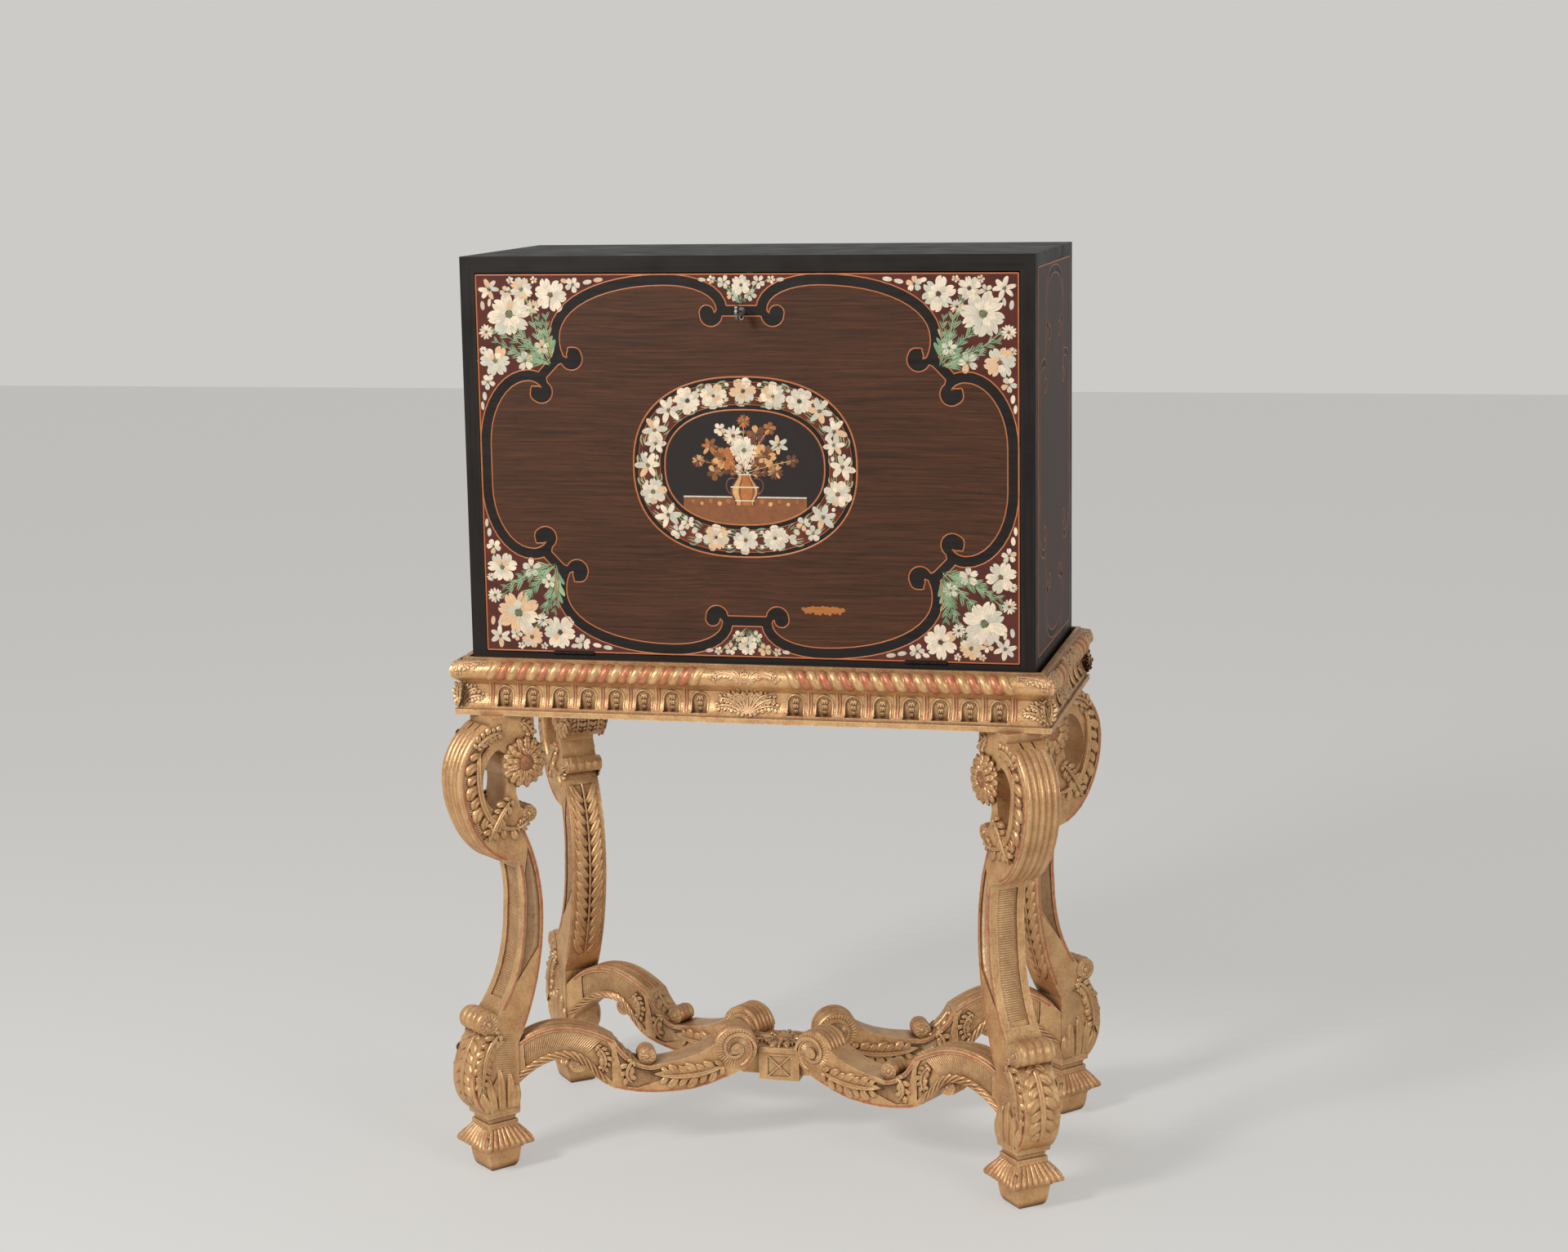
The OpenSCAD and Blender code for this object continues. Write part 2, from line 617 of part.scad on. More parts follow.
// Case: four boards mitred at the corners and a back panel between them
module mitred(points) {
    color(EBONY) rotate([90, 0, 0]) linear_extrude(cab_d, center = true) polygon(points);
}
module top_board() {
    difference() {
        mitred([[-cab_w / 2, cab_top], [cab_w / 2, cab_top], [in_x, in_top], [-in_x, in_top]]);
        color(EBONY) strike_body(1);
        color(EBONY) bolt_way(in_top - 1, bolt_throw + bolt_nose + 4);
    }
}
module bottom_board() {
    difference() {
        mitred([[-cab_w / 2, cab_z], [cab_w / 2, cab_z], [in_x, in_low], [-in_x, in_low]]);
        color(EBONY) for (k = [-1, 1]) translate([k * hinge_x, 0, 0]) {
            translate([-hinge_l / 2, front_y - 1, in_low - leaf_t])
                cube([hinge_l, leaf_deep + 1, leaf_t + 1]);
            knuckle_room();
        }
        // slots that take the tails of the stays when the flap is shut
        color(EBONY) for (k = [0, 1]) mirror([k, 0, 0])
            translate([stay_x - 1.8, pin_y + stay_r - stay_w - 4, cab_z - 1])
                cube([stay_t + 3.6, 1.5 * stay_w + 7, bottom_t + 2]);
    }
}
module side_left() { mitred([[-cab_w / 2, cab_z], [-in_x, in_low], [-in_x, in_top], [-cab_w / 2, cab_top]]); }
module side_right() { mirror([1, 0, 0]) side_left(); }
module back_panel() {
    color(CARCASE) translate([-in_x, back_y, in_low]) cube([2 * in_x, back_t, in_top - in_low]);
}

// Strapwork: one quarter of the figure, drawn up and to the left of the panel's middle
// hw and hh are the panel's half width and half height
module strap(v, w) { polygon(band(v, -w / 2, w / 2)); }
function top_strap(hw, hh) =
    let (e = hh - strap_edge - strap_w / 2, a = hw * 0.284, b = hw * 0.704, m = e - hh * 0.304) concat(
        bez([-33, e - 49], [-34, e - 16], [-0.62 * a, e], [-a, e], 8),
        cut_tail(bez([-a, e], [-a - 0.58 * (b - a), e], [-b, m + 0.6 * (e - m)], [-b, m], 12), 1, 0),
        cut_tail(bez([-b, m], [-b, m - 12], [-b + 2, m - 22], [-b + 7, m - 32], 3), 1, 0));
function side_strap(hw, hh) =
    let (e = hw - strap_edge - strap_w / 2, c = hh * 0.473, x = hw * 0.807, low = hh * 0.11) concat(
        bez([-x + 23, c - 8], [-x + 16, c - 2.5], [-x + 8, c], [-x, c], 4),
        cut_tail(bez([-x, c], [-x - 0.55 * (e - x), c], [-e, low + 0.55 * (c - low)], [-e, low], 10), 1, 0),
        [[-e, 0]]);
// A strap's curled end about c: a disc and a smaller lobe, with a bay between the lobe and the strap.
// The bay opens at the angle mouth, with the strap on its right (hand 1) or left (hand -1).
module volute(c, mouth, hand, cusp) {
    x = hand * [sin(mouth), -cos(mouth)];
    y = [cos(mouth), sin(mouth)];
    tip = c + curl_r * (cusp.x * x + cusp.y * y);
    difference() {
        translate(c) circle(r = curl_r);
        polygon([tip, tip + 2 * curl_r * (0.87 * y - 0.5 * x), tip + 2 * curl_r * (0.8 * y + 0.6 * x)]);
    }
    translate(c + curl_r * (0.17 * y - 0.37 * x)) circle(r = 0.66 * curl_r);
}
module quarter(hw, hh) {
    e = hh - strap_edge - strap_w / 2;
    t = top_strap(hw, hh);
    s = side_strap(hw, hh)[0];
    last = t[len(t) - 1];
    strap(t, strap_w);
    strap(side_strap(hw, hh), strap_w);
    volute([-51.5, e - 57], 90, 1, [0.05, -0.18]);
    volute(last + [21.6, -1], 120, -1, [0.25, 0.2]);
    volute(s + [-1, -19.4], 140, 1, [0.3, 0.2]);
    // the neck between the two straps
    polygon([last + [-11, 4], s + [-4.6, 14.6], s + [-5.5, -7], s + [-0.2, -12.6], s + [10, -4],
             s + [8.4, 3.6], last + [-1.4, -11.3], last + [6, -8], last + [6, 2]]);
    translate([-42, e - 59]) square([42.01, strap_w - 1]);
}
module strapwork(hw, hh) {
    for (kx = [0, 1], ky = [0, 1]) mirror([kx, 0]) mirror([0, ky]) quarter(hw, hh);
}
// An oval a little squarer than an ellipse, as a list of points by angle
function oval(a, b, n = 72) = [for (i = [0:n - 1]) let (c = cos(360 * i / n), s = sin(360 * i / n))
    [a * sign(c) * pow(abs(c), 0.85), b * sign(s) * pow(abs(s), 0.85)]];

flap_x = in_x - flap_gap;
flap_low = in_low + flap_low_gap;
flap_top = in_top - flap_top_gap;
panel_z = (flap_low + flap_top) / 2;
panel_h = (flap_top - flap_low) / 2;
module on_front(depth, t) {
    translate([0, front_y + depth + t, panel_z]) rotate([90, 0, 0]) linear_extrude(t) children();
}
module front_strapwork() {
    color(EBONY) on_front(0, veneer_t) difference() {
        strapwork(flap_x, panel_h);
        translate([0, key_z - panel_z]) keyhole();
    }
    color(EBONY) on_front(0, veneer_t) difference() {
        polygon(oval(oval_a, oval_b));
        polygon(oval(oval_a - ring_w, oval_b - ring_w));
    }
}
module front_veneer() {
    color(ROSEWOOD) difference() {
        on_front(0, veneer_t) difference() {
            translate([-flap_x, -panel_h]) square([2 * flap_x, 2 * panel_h]);
            strapwork(flap_x, panel_h);
            difference() {
                polygon(oval(oval_a, oval_b));
                polygon(oval(oval_a - ring_w, oval_b - ring_w));
            }
            translate([0, key_z - panel_z]) keyhole();
        }
        flap_hinge_room();
    }
}
// Flap, hung on two butt hinges whose pins lie in front of its lower edge
pin_y = front_y - 1;
pin_z = in_low + flap_low_gap / 2;
leaf_deep = flap_t - 3;
knuckles = 5;
module knuckle_room() {
    translate([0, pin_y, pin_z]) rotate([0, 90, 0])
        cylinder(r = knuckle_r + 0.5, h = hinge_l + 1, center = true);
}
// Room in the flap for its hinge leaves and the knuckles
module flap_hinge_room() {
    for (k = [-1, 1]) translate([k * hinge_x, 0, 0]) {
        translate([-hinge_l / 2, front_y - 1, flap_low - 1]) cube([hinge_l, leaf_deep + 1, leaf_t + 1]);
        knuckle_room();
    }
}
module fall_front() {
    color(ROSEWOOD) difference() {
        translate([-flap_x, front_y + veneer_t, flap_low])
            cube([2 * flap_x, flap_t - veneer_t, flap_top - flap_low]);
        flap_hinge_room();
        for (k = [0, 1]) mirror([k, 0, 0]) stay_foot();
        translate([-lock_w / 2, lock_y, lock_low]) cube([lock_w, lock_t + 1, flap_top - lock_low + 1]);
        translate([0, 0, key_z]) rotate([90, 0, 0]) linear_extrude(3 * cab_d, center = true) keyhole();
    }
}
// A row of knuckles, every second one from the first, with room at both ends of each
module knuckle_row(first, bore) {
    step = hinge_l / knuckles;
    difference() {
        for (i = [first:2:knuckles - 1])
            translate([-hinge_l / 2 + i * step + 0.15, pin_y, pin_z]) rotate([0, 90, 0])
                cylinder(r = knuckle_r, h = step - 0.3);
        translate([0, pin_y, pin_z]) rotate([0, 90, 0]) cylinder(r = bore, h = hinge_l + 2, center = true);
    }
}
// Leaf of a hinge with slots where the other leaf's knuckles turn
module hinge_leaf(z, first, bore) {
    step = hinge_l / knuckles;
    for (k = [-1, 1]) translate([k * hinge_x, 0, 0]) {
        difference() {
            translate([-hinge_l / 2, pin_y, z]) cube([hinge_l, leaf_deep + 1, leaf_t]);
            for (i = [1 - first:2:knuckles - 1])
                translate([-hinge_l / 2 + i * step - 0.15, pin_y - 1, z - 1])
                    cube([step + 0.3, knuckle_r + 1.5, leaf_t + 2]);
            translate([0, pin_y, pin_z]) rotate([0, 90, 0])
                cylinder(r = bore, h = hinge_l + 2, center = true);
        }
        knuckle_row(first, bore);
    }
}
module hinge_leaves_case() { color(IRON) hinge_leaf(in_low - leaf_t, 0, pin_r); }
module hinge_leaves_flap() { color(IRON) hinge_leaf(flap_low, 1, pin_r + pin_clear); }
module hinge_pins() {
    color(IRON) for (k = [-1, 1]) translate([k * hinge_x, pin_y, pin_z]) rotate([0, 90, 0])
        cylinder(r = pin_r, h = hinge_l, center = true);
}

// Stays: quadrants about the hinge axis that hold the flap level, run through guides on the sides
// Angles are measured from the upright, towards the back
stay_x = in_x - stay_room + 4.5;
peg_r = 3.5;
guide_y = flap_t + 3;
peg_angle = 90 + asin((guide_y + guide_t + peg_r + 0.5) / stay_r);
module quadrant(a0, a1) {
    far = 2 * stay_r;
    mid = (a0 + a1) / 2;
    translate([stay_x, pin_y, pin_z]) rotate([90, 0, 90]) linear_extrude(stay_t) intersection() {
        difference() {
            circle(r = stay_r + stay_w / 2, $fn = 96);
            circle(r = stay_r - stay_w / 2, $fn = 96);
        }
        polygon([[0, 0], far * [sin(a0), cos(a0)], far * [sin(mid), cos(mid)], far * [sin(a1), cos(a1)]]);
    }
}
module stay_foot() {
    translate([stay_x - 10, pin_y + flap_t - 1, pin_z + stay_r - 34]) cube([stay_t + 16, 2, 54]);
}
module stays() {
    color(IRON) for (k = [0, 1]) mirror([k, 0, 0]) {
        stay_foot();
        quadrant(asin((flap_t - 0.5) / stay_r), peg_angle + 1.4);
        translate([stay_x - 1.2, pin_y + stay_r * sin(peg_angle), pin_z + stay_r * cos(peg_angle)])
            rotate([0, 90, 0]) cylinder(r = peg_r, h = stay_t + 2.4);
    }
}
module stay_guides() {
    z = pin_z + stay_r * cos(asin((guide_y + guide_t / 2) / stay_r));
    color(IRON) for (k = [0, 1]) mirror([k, 0, 0]) difference() {
        translate([stay_x - 4, pin_y + guide_y, z - stay_w / 2 - 5])
            cube([in_x - stay_x + 4, guide_t, stay_w + 10]);
        translate([stay_x - 0.4, pin_y, z - stay_w / 2 - 0.9])
            cube([stay_t + 0.8, 2 * guide_y, stay_w + 1.8]);
    }
}

// Lock: case let into the flap's back, bolt shot upwards, key turned from the front
key_z = flap_top - key_drop;
lock_low = key_z - bit_reach - 10;
lock_y = front_y + flap_t - lock_t;
lock_wall = 2;
bolt_x = bolt_w;
bolt_y = lock_y + lock_t / 2;
bolt_low = key_z - 14;
bolt_throw = 2 * bit_reach * sin(key_turn / 2);
module keyhole() {
    circle(r = key_r + pin_clear);
    translate([-1.8, -bit_reach - 0.8]) square([3.6, bit_reach]);
}
// The bolt's way, as wide as the bolt and its clearance, from z up
module bolt_way(z, h) {
    translate([bolt_x - bolt_w / 2 - 0.4, bolt_y - bolt_t / 2 - 0.4, z])
        cube([bolt_w + 0.8, bolt_t + 0.8, h]);
}
module lock_case() {
    color(IRON) difference() {
        translate([-lock_w / 2, lock_y, lock_low]) cube([lock_w, lock_t, flap_top - lock_low]);
        difference() {
            translate([-lock_w / 2 + lock_wall, lock_y + lock_wall, lock_low + lock_wall])
                cube([lock_w - 2 * lock_wall, lock_t - 2 * lock_wall, flap_top - lock_low - 3 * lock_wall]);
            // two fences that guide the bolt's tail
            for (x = [bolt_x - bolt_w / 2 - 3, bolt_x + bolt_w / 2 + 0.4])
                translate([x, lock_y, bolt_low - 1]) cube([2.6, lock_t, 4.5]);
        }
        bolt_way(flap_top - 4 * lock_wall, 5 * lock_wall);
        translate([0, lock_y + lock_wall + 0.01, key_z]) rotate([90, 0, 0])
            linear_extrude(2 * lock_wall) keyhole();
    }
}
// Bolt with the talon in its edge where the key's bit works; it opens towards the key
talon_z = key_z - bolt_throw / 2;
module lock_bolt() {
    x0 = bolt_x - bolt_w / 2;
    color(IRON) difference() {
        translate([x0, bolt_y - bolt_t / 2, bolt_low])
            cube([bolt_w, bolt_t, flap_top + bolt_nose - bolt_low]);
        translate([0, bolt_y, 0]) plate([
            [x0 - 1, talon_z + 4.4], [x0 - 1, talon_z - 4.4],
            [bit_reach + 0.8, talon_z - 2.3], [bit_reach + 0.8, talon_z + 2.3]], 2 * bolt_t);
    }
}
module strike_body(low) {
    translate([bolt_x - 1.6 * bolt_w, bolt_y - bolt_t - 1, in_top - low])
        cube([3.2 * bolt_w, 2 * bolt_t + 2, leaf_t + low]);
}
module strike_plate() {
    color(IRON) difference() {
        strike_body(0);
        bolt_way(in_top - 1, leaf_t + 2);
    }
}
scutcheon_t = 1.2;
module escutcheon() {
    color(IRON) translate([0, front_y, key_z]) rotate([90, 0, 0]) linear_extrude(scutcheon_t) difference() {
        union() {
            circle(r = key_r + 3.5);
            translate([0, -bit_reach + 1]) circle(r = 4.5);
            translate([-2.6, -bit_reach]) square([5.2, bit_reach]);
        }
        keyhole();
    }
}
// Key, drawn with its bit turned into the talon
bow_r = 9;
module key() {
    out = 22;
    color(IRON) translate([0, 0, key_z]) rotate([0, key_turn / 2, 0]) {
        // shank and bit
        translate([0, lock_y + lock_t - lock_wall - 0.6, 0]) rotate([90, 0, 0])
            cylinder(r = key_r, h = flap_t + out - lock_wall - 0.6);
        translate([0, bolt_y - bolt_t / 2, -1.2]) cube([bit_reach, bolt_t, 2.4]);
        // collar and pierced bow
        translate([0, front_y - 3, 0]) rotate([90, 0, 0]) cylinder(r = key_r + 2, h = 3);
        translate([0, front_y - out - bow_r + 2, 0]) rotate([0, 90 - key_turn / 2, 0]) difference() {
            union() {
                cylinder(r = bow_r, h = 4, center = true);
                for (k = [-1, 1]) translate([k * bow_r * 0.8, -bow_r * 0.3, 0])
                    cylinder(r = bow_r * 0.55, h = 4, center = true);
            }
            for (k = [-1, 1]) translate([k * bow_r * 0.45, 0, 0])
                cylinder(r = bow_r * 0.3, h = 6, center = true);
        }
    }
}

// Interior: a nest of drawers round a middle bay
nest_y = front_y + flap_t + nest_setback;
nest_d = back_y - nest_y;
drawer_rows = 4;
col_w = in_x - stay_room - bay_w / 2 - 2 * upright_t;
col_h = (in_top - in_low - (drawer_rows - 1) * shelf_t) / drawer_rows;
left_x = -in_x + stay_room + upright_t;
right_x = bay_w / 2 + upright_t;
mid_p = [-bay_w / 2, in_low];
mid_shelf_z = in_low + mid_drawer_h;
// Four uprights: two beside the bay, two at the outer ends of the nest
module uprights() {
    color(CARCASE) for (k = [0, 1], x = [left_x - upright_t, -bay_w / 2 - upright_t]) mirror([k, 0, 0])
        translate([x, nest_y, in_low]) cube([upright_t, nest_d, in_top - in_low]);
}
module dust_boards() {
    color(CARCASE) for (x = [left_x, right_x], i = [1:drawer_rows - 1])
        translate([x, nest_y, in_low + i * (col_h + shelf_t) - shelf_t]) cube([col_w, nest_d, shelf_t]);
}
module shelf_middle() {
    color(CARCASE) translate([-bay_w / 2, nest_y, mid_shelf_z]) cube([bay_w, nest_d, shelf_t]);
}
// Arched front of the open bay over the middle drawer
arch_t = 10;
module niche_arch() {
    z0 = mid_shelf_z + shelf_t;
    h = in_top - z0;
    r = bay_w / 2 - 26;
    color(CARCASE) translate([0, nest_y + arch_t, z0]) rotate([90, 0, 0])
        linear_extrude(arch_t) difference() {
            translate([-bay_w / 2, 0]) square([bay_w, h]);
            translate([-r, -1]) square([2 * r, h - r - 25]);
            translate([0, h - r - 26]) circle(r = r, $fn = 96);
        }
}
// A drawer whose opening's low left corner is at p, w by h inside its opening
module drawer(p, w, h) {
    c = drawer_clear;
    d = nest_d - drawer_back_gap;
    color(CARCASE) translate([p.x + c, nest_y, p.y + c]) difference() {
        cube([w - 2 * c, d, h - 2 * c]);
        translate([drawer_side_t, drawer_front_t, drawer_floor_t])
            cube([w - 2 * c - 2 * drawer_side_t, d - drawer_front_t - drawer_side_t, h]);
        translate([-1, drawer_front_t, h * 0.9]) cube([w, d, h]);
        translate([w / 2 - c, -1, h / 2 - c]) rotate([-90, 0, 0])
            cylinder(r = knob_r * 0.4, h = drawer_front_t + 2);
    }
}
// A turned knob with its peg through the front
module knob(p, w, h) {
    k = knob_r;
    color(BRASS) translate([p.x + w / 2, nest_y, p.y + h / 2]) rotate([90, 0, 0]) rotate_extrude()
        polygon(concat(
            [[0, -drawer_front_t], [k * 0.4, -drawer_front_t], [k * 0.4, 0], [k * 0.8, 0], [k * 0.8, 1.5],
             [k * 0.45, 3], [k * 0.4, knob_l - k - 2]],
            [for (a = [-60:15:90]) [k * cos(a), knob_l - k * 0.8 + k * 0.8 * sin(a)]],
            [[0, knob_l]]));
}
function row_z(i) = in_low + (drawer_rows - i) * (col_h + shelf_t);

module drawer_left_1() { drawer([left_x, row_z(1)], col_w, col_h); }
module drawer_left_2() { drawer([left_x, row_z(2)], col_w, col_h); }
module drawer_left_3() { drawer([left_x, row_z(3)], col_w, col_h); }
module drawer_left_4() { drawer([left_x, row_z(4)], col_w, col_h); }
module drawer_right_1() { drawer([right_x, row_z(1)], col_w, col_h); }
module drawer_right_2() { drawer([right_x, row_z(2)], col_w, col_h); }
module drawer_right_3() { drawer([right_x, row_z(3)], col_w, col_h); }
module drawer_right_4() { drawer([right_x, row_z(4)], col_w, col_h); }
module drawer_middle() { drawer(mid_p, bay_w, mid_drawer_h); }
module knob_left_1() { knob([left_x, row_z(1)], col_w, col_h); }
module knob_left_2() { knob([left_x, row_z(2)], col_w, col_h); }
module knob_left_3() { knob([left_x, row_z(3)], col_w, col_h); }
module knob_left_4() { knob([left_x, row_z(4)], col_w, col_h); }
module knob_right_1() { knob([right_x, row_z(1)], col_w, col_h); }
module knob_right_2() { knob([right_x, row_z(2)], col_w, col_h); }
module knob_right_3() { knob([right_x, row_z(3)], col_w, col_h); }
module knob_right_4() { knob([right_x, row_z(4)], col_w, col_h); }
module knob_middle() { knob(mid_p, bay_w, mid_drawer_h); }

rail_front();
rail_back();
rail_left();
rail_right();
corner_blocks();
leg_front_left();
leg_front_right();
leg_back_left();
leg_back_right();
foot_front_left();
foot_front_right();
foot_back_left();
foot_back_right();
sunflowers();
arm_front_left();
arm_front_right();
arm_back_left();
arm_back_right();
stretcher_block();
top_board();
bottom_board();
side_left();
side_right();
back_panel();
uprights();
dust_boards();
shelf_middle();
niche_arch();
strike_plate();
hinge_leaves_case();
hinge_pins();
stay_guides();
fall_front();
front_veneer();
front_strapwork();
hinge_leaves_flap();
stays();
escutcheon();
lock_case();
lock_bolt();
key();
drawer_left_1();
drawer_left_2();
drawer_left_3();
drawer_left_4();
drawer_right_1();
drawer_right_2();
drawer_right_3();
drawer_right_4();
drawer_middle();
knob_left_1();
knob_left_2();
knob_left_3();
knob_left_4();
knob_right_1();
knob_right_2();
knob_right_3();
knob_right_4();
knob_middle();
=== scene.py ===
import bmesh
import bpy
import numpy as np
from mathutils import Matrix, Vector
from mathutils.geometry import delaunay_2d_cdt


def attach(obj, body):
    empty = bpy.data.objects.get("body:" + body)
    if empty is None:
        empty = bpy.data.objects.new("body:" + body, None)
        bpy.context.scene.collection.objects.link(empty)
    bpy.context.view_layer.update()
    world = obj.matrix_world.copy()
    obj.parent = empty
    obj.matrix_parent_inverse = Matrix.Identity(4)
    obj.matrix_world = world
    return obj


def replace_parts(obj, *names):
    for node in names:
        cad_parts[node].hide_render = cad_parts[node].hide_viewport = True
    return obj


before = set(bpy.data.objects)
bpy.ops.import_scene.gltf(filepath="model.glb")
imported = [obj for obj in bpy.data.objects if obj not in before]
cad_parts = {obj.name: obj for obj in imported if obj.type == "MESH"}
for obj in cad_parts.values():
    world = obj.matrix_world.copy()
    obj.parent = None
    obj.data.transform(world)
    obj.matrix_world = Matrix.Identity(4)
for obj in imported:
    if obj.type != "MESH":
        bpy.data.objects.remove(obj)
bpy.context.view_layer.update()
print("frame loaded", len(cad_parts), "nodes")

# Sizes shared with the solids, in millimetres. A leg and an arm stand in the model at x and y, turned by turn degrees.
case = {"halfW": 480, "halfD": 212.5}
panel = {"halfW": 454, "halfH": 315.9, "midZ": 1222.1, "ovalA": 188, "ovalB": 148, "ring": 53}
leg = {"x": 462, "y": 234.5, "turn": 230, "half": 33, "deep": 3}
arm = {"x": 441.43, "y": 209.99, "turn": 23.09, "half": 27, "deep": 3}
signPairs = [(kx, ky) for kx in (-1, 1) for ky in (-1, 1)]  # the four corners of anything, by their sides


# Colour: sRGB hex to the linear values that shaders take
def linear(code):
    s = np.array([int(code[i:i + 2], 16) / 255 for i in (1, 3, 5)])
    return (*np.where(s <= 0.04045, s / 12.92, ((s + 0.055) / 1.055) ** 2.4), 1.0)


# Adds a node. A setting is a socket, by name or number, or a property. Its value is a number, a hex colour, or
# another node's output, which is linked. One of the new node's outputs comes back.
def addNode(tree, kind, settings=None, out=0):
    node = tree.nodes.new("ShaderNode" + kind)
    for key, value in (settings or {}).items():
        if not isinstance(key, int) and key not in node.inputs:
            setattr(node, key, value)
        elif isinstance(value, bpy.types.NodeSocket):
            tree.links.new(value, node.inputs[key])
        else:
            node.inputs[key].default_value = linear(value) if isinstance(value, str) else value
    return node.outputs[out] if len(node.outputs) else None


# A new material, its empty tree, and the place on the object
def newMaterial(name):
    mat = bpy.data.materials.new(name)
    mat.use_nodes = True
    mat.node_tree.nodes.clear()
    return mat, mat.node_tree, addNode(mat.node_tree, "TexCoord", {}, "Object")


# The material's shader: its colour, its roughness, and a bump of the height, its depth in metres
def finishMaterial(mat, colour, rough, height, strength, depth, settings=None):
    tree = mat.node_tree
    normal = addNode(tree, "Bump", {"Strength": strength, "Distance": depth, "Height": height})
    look = {"Base Color": colour, "Roughness": rough, "Normal": normal, **(settings or {})}
    addNode(tree, "OutputMaterial", {"Surface": addNode(tree, "BsdfPrincipled", look)})
    return mat


# Noise with scale repeats to the metre, its value spread from low to high onto 0 to 1
def streaks(tree, place, scale, low, high, detail=4.0, rough=0.55, distort=0.0):
    mapped = addNode(tree, "Mapping", {"Scale": tuple(np.ones(3) * scale), "Vector": place})
    noise = addNode(tree, "TexNoise", {"Scale": 1.0, "Detail": detail, "Roughness": rough, "Distortion": distort,
                                       "Vector": mapped})
    return addNode(tree, "MapRange", {"From Min": low, "From Max": high, "Value": noise})


# Colours laid over one another, each by its pattern times an amount
def layered(tree, colour, layers):
    for pattern, amount, top in layers:
        share = addNode(tree, "Math", {"operation": "MULTIPLY", 0: pattern, 1: amount})
        colour = addNode(tree, "Mix", {"data_type": "RGBA", 0: share, 6: colour, 7: top}, 2)
    return colour


# Water gilding on oak: gold leaf on gesso over red bole, burnished and rubbed. Warm and half metallic, red where it
# is rubbed through, painted shade and dirt darkening the hollows, a pale painted highlight on the edges, with a few
# chips down to the gesso.
giltSet = {"gold": "#d8a96f", "pale": "#f9e3bd", "deep": "#bb8752", "bole": "#b65c45", "shadeAndDirt": "#59361f",
           "gesso": "#ebe2d0", "cloudMm": 34, "rubMm": 9, "finePerM": 260, "chipsPerM": 70, "rubbed": 0.16,
           "hollowM": 0.014, "edgeM": 0.0026}


def giltwood(name):
    mat, tree, place = newMaterial(name)
    g = giltSet
    cloud = streaks(tree, place, 1000 / g["cloudMm"], 0.35, 0.65, 3.0)
    fine = streaks(tree, place, g["finePerM"], 0.3, 0.7, 2.0)
    rub = streaks(tree, place, 1000 / g["rubMm"], 0.50, 0.66, 5.0, 0.65)
    chip = streaks(tree, place, g["chipsPerM"], 0.72, 0.75, 4.0, 0.6)
    # edges are where the bevelled normal leaves the face's own, away from hollows: they get a pale painted highlight,
    # and most of the red rubbed through and the chips
    openness = addNode(tree, "AmbientOcclusion", {"samples": 4, "Distance": g["hollowM"]}, "AO")
    rounded = addNode(tree, "Bevel", {"samples": 4, "Radius": g["edgeM"]})
    face = addNode(tree, "NewGeometry", {}, "Normal")
    edge = addNode(tree, "VectorMath", {"operation": "DOT_PRODUCT", 0: rounded, 1: face}, "Value")
    edge = addNode(tree, "MapRange", {"From Min": 0.995, "From Max": 0.84, "Value": edge})
    clear = addNode(tree, "Math", {"operation": "POWER", 0: openness, 1: 3.0})
    edge = addNode(tree, "Math", {"operation": "MULTIPLY", 0: edge, 1: clear})
    # red where rubbed through, and where the carving's tint asks for it
    worn = addNode(tree, "Math", {"operation": "MULTIPLY_ADD", 0: edge, 1: 0.9, 2: g["rubbed"]})
    worn = addNode(tree, "Math", {"operation": "MULTIPLY", "use_clamp": True, 0: rub, 1: worn})
    red = addNode(tree, "Math", {"operation": "MULTIPLY_ADD", 0: rub, 1: 0.35, 2: 0.6})
    tint = addNode(tree, "Attribute", {"attribute_name": "tint"}, "Fac")
    red = addNode(tree, "Math", {"operation": "MULTIPLY", 0: tint, 1: red})
    red = addNode(tree, "Math", {"operation": "MAXIMUM", 0: worn, 1: red})
    # painted shade and dirt: the hollows that ambient occlusion finds are darkened towards dark brown
    hollowShadeAndDirt = addNode(tree, "Math", {"operation": "POWER", 0: openness, 1: 1.5})
    hollowShadeAndDirt = addNode(tree, "Math", {"operation": "SUBTRACT", 0: 1.0, 1: hollowShadeAndDirt})
    chipped = addNode(tree, "Math", {"operation": "ADD", 0: edge, 1: 0.06})
    # the pale layer on the edges is a painted highlight; the dark brown layer in the hollows is painted shade with dirt
    colour = layered(tree, g["gold"], [(cloud, 1.0, g["deep"]), (fine, 0.25, g["pale"]), (edge, 0.75, g["pale"]),
                                       (red, 1.0, g["bole"]), (hollowShadeAndDirt, 0.92, g["shadeAndDirt"]), (chip, chipped, g["gesso"])])
    dull = addNode(tree, "Math", {"operation": "MAXIMUM", 0: red, 1: fine})
    rough = addNode(tree, "MapRange", {"To Min": 0.27, "To Max": 0.52, "Value": dull})
    height = addNode(tree, "Math", {"operation": "MULTIPLY_ADD", 0: rub, 1: 0.8, 2: fine})
    return finishMaterial(mat, colour, rough, height, 0.35, 0.0004, {"Metallic": 0.55})


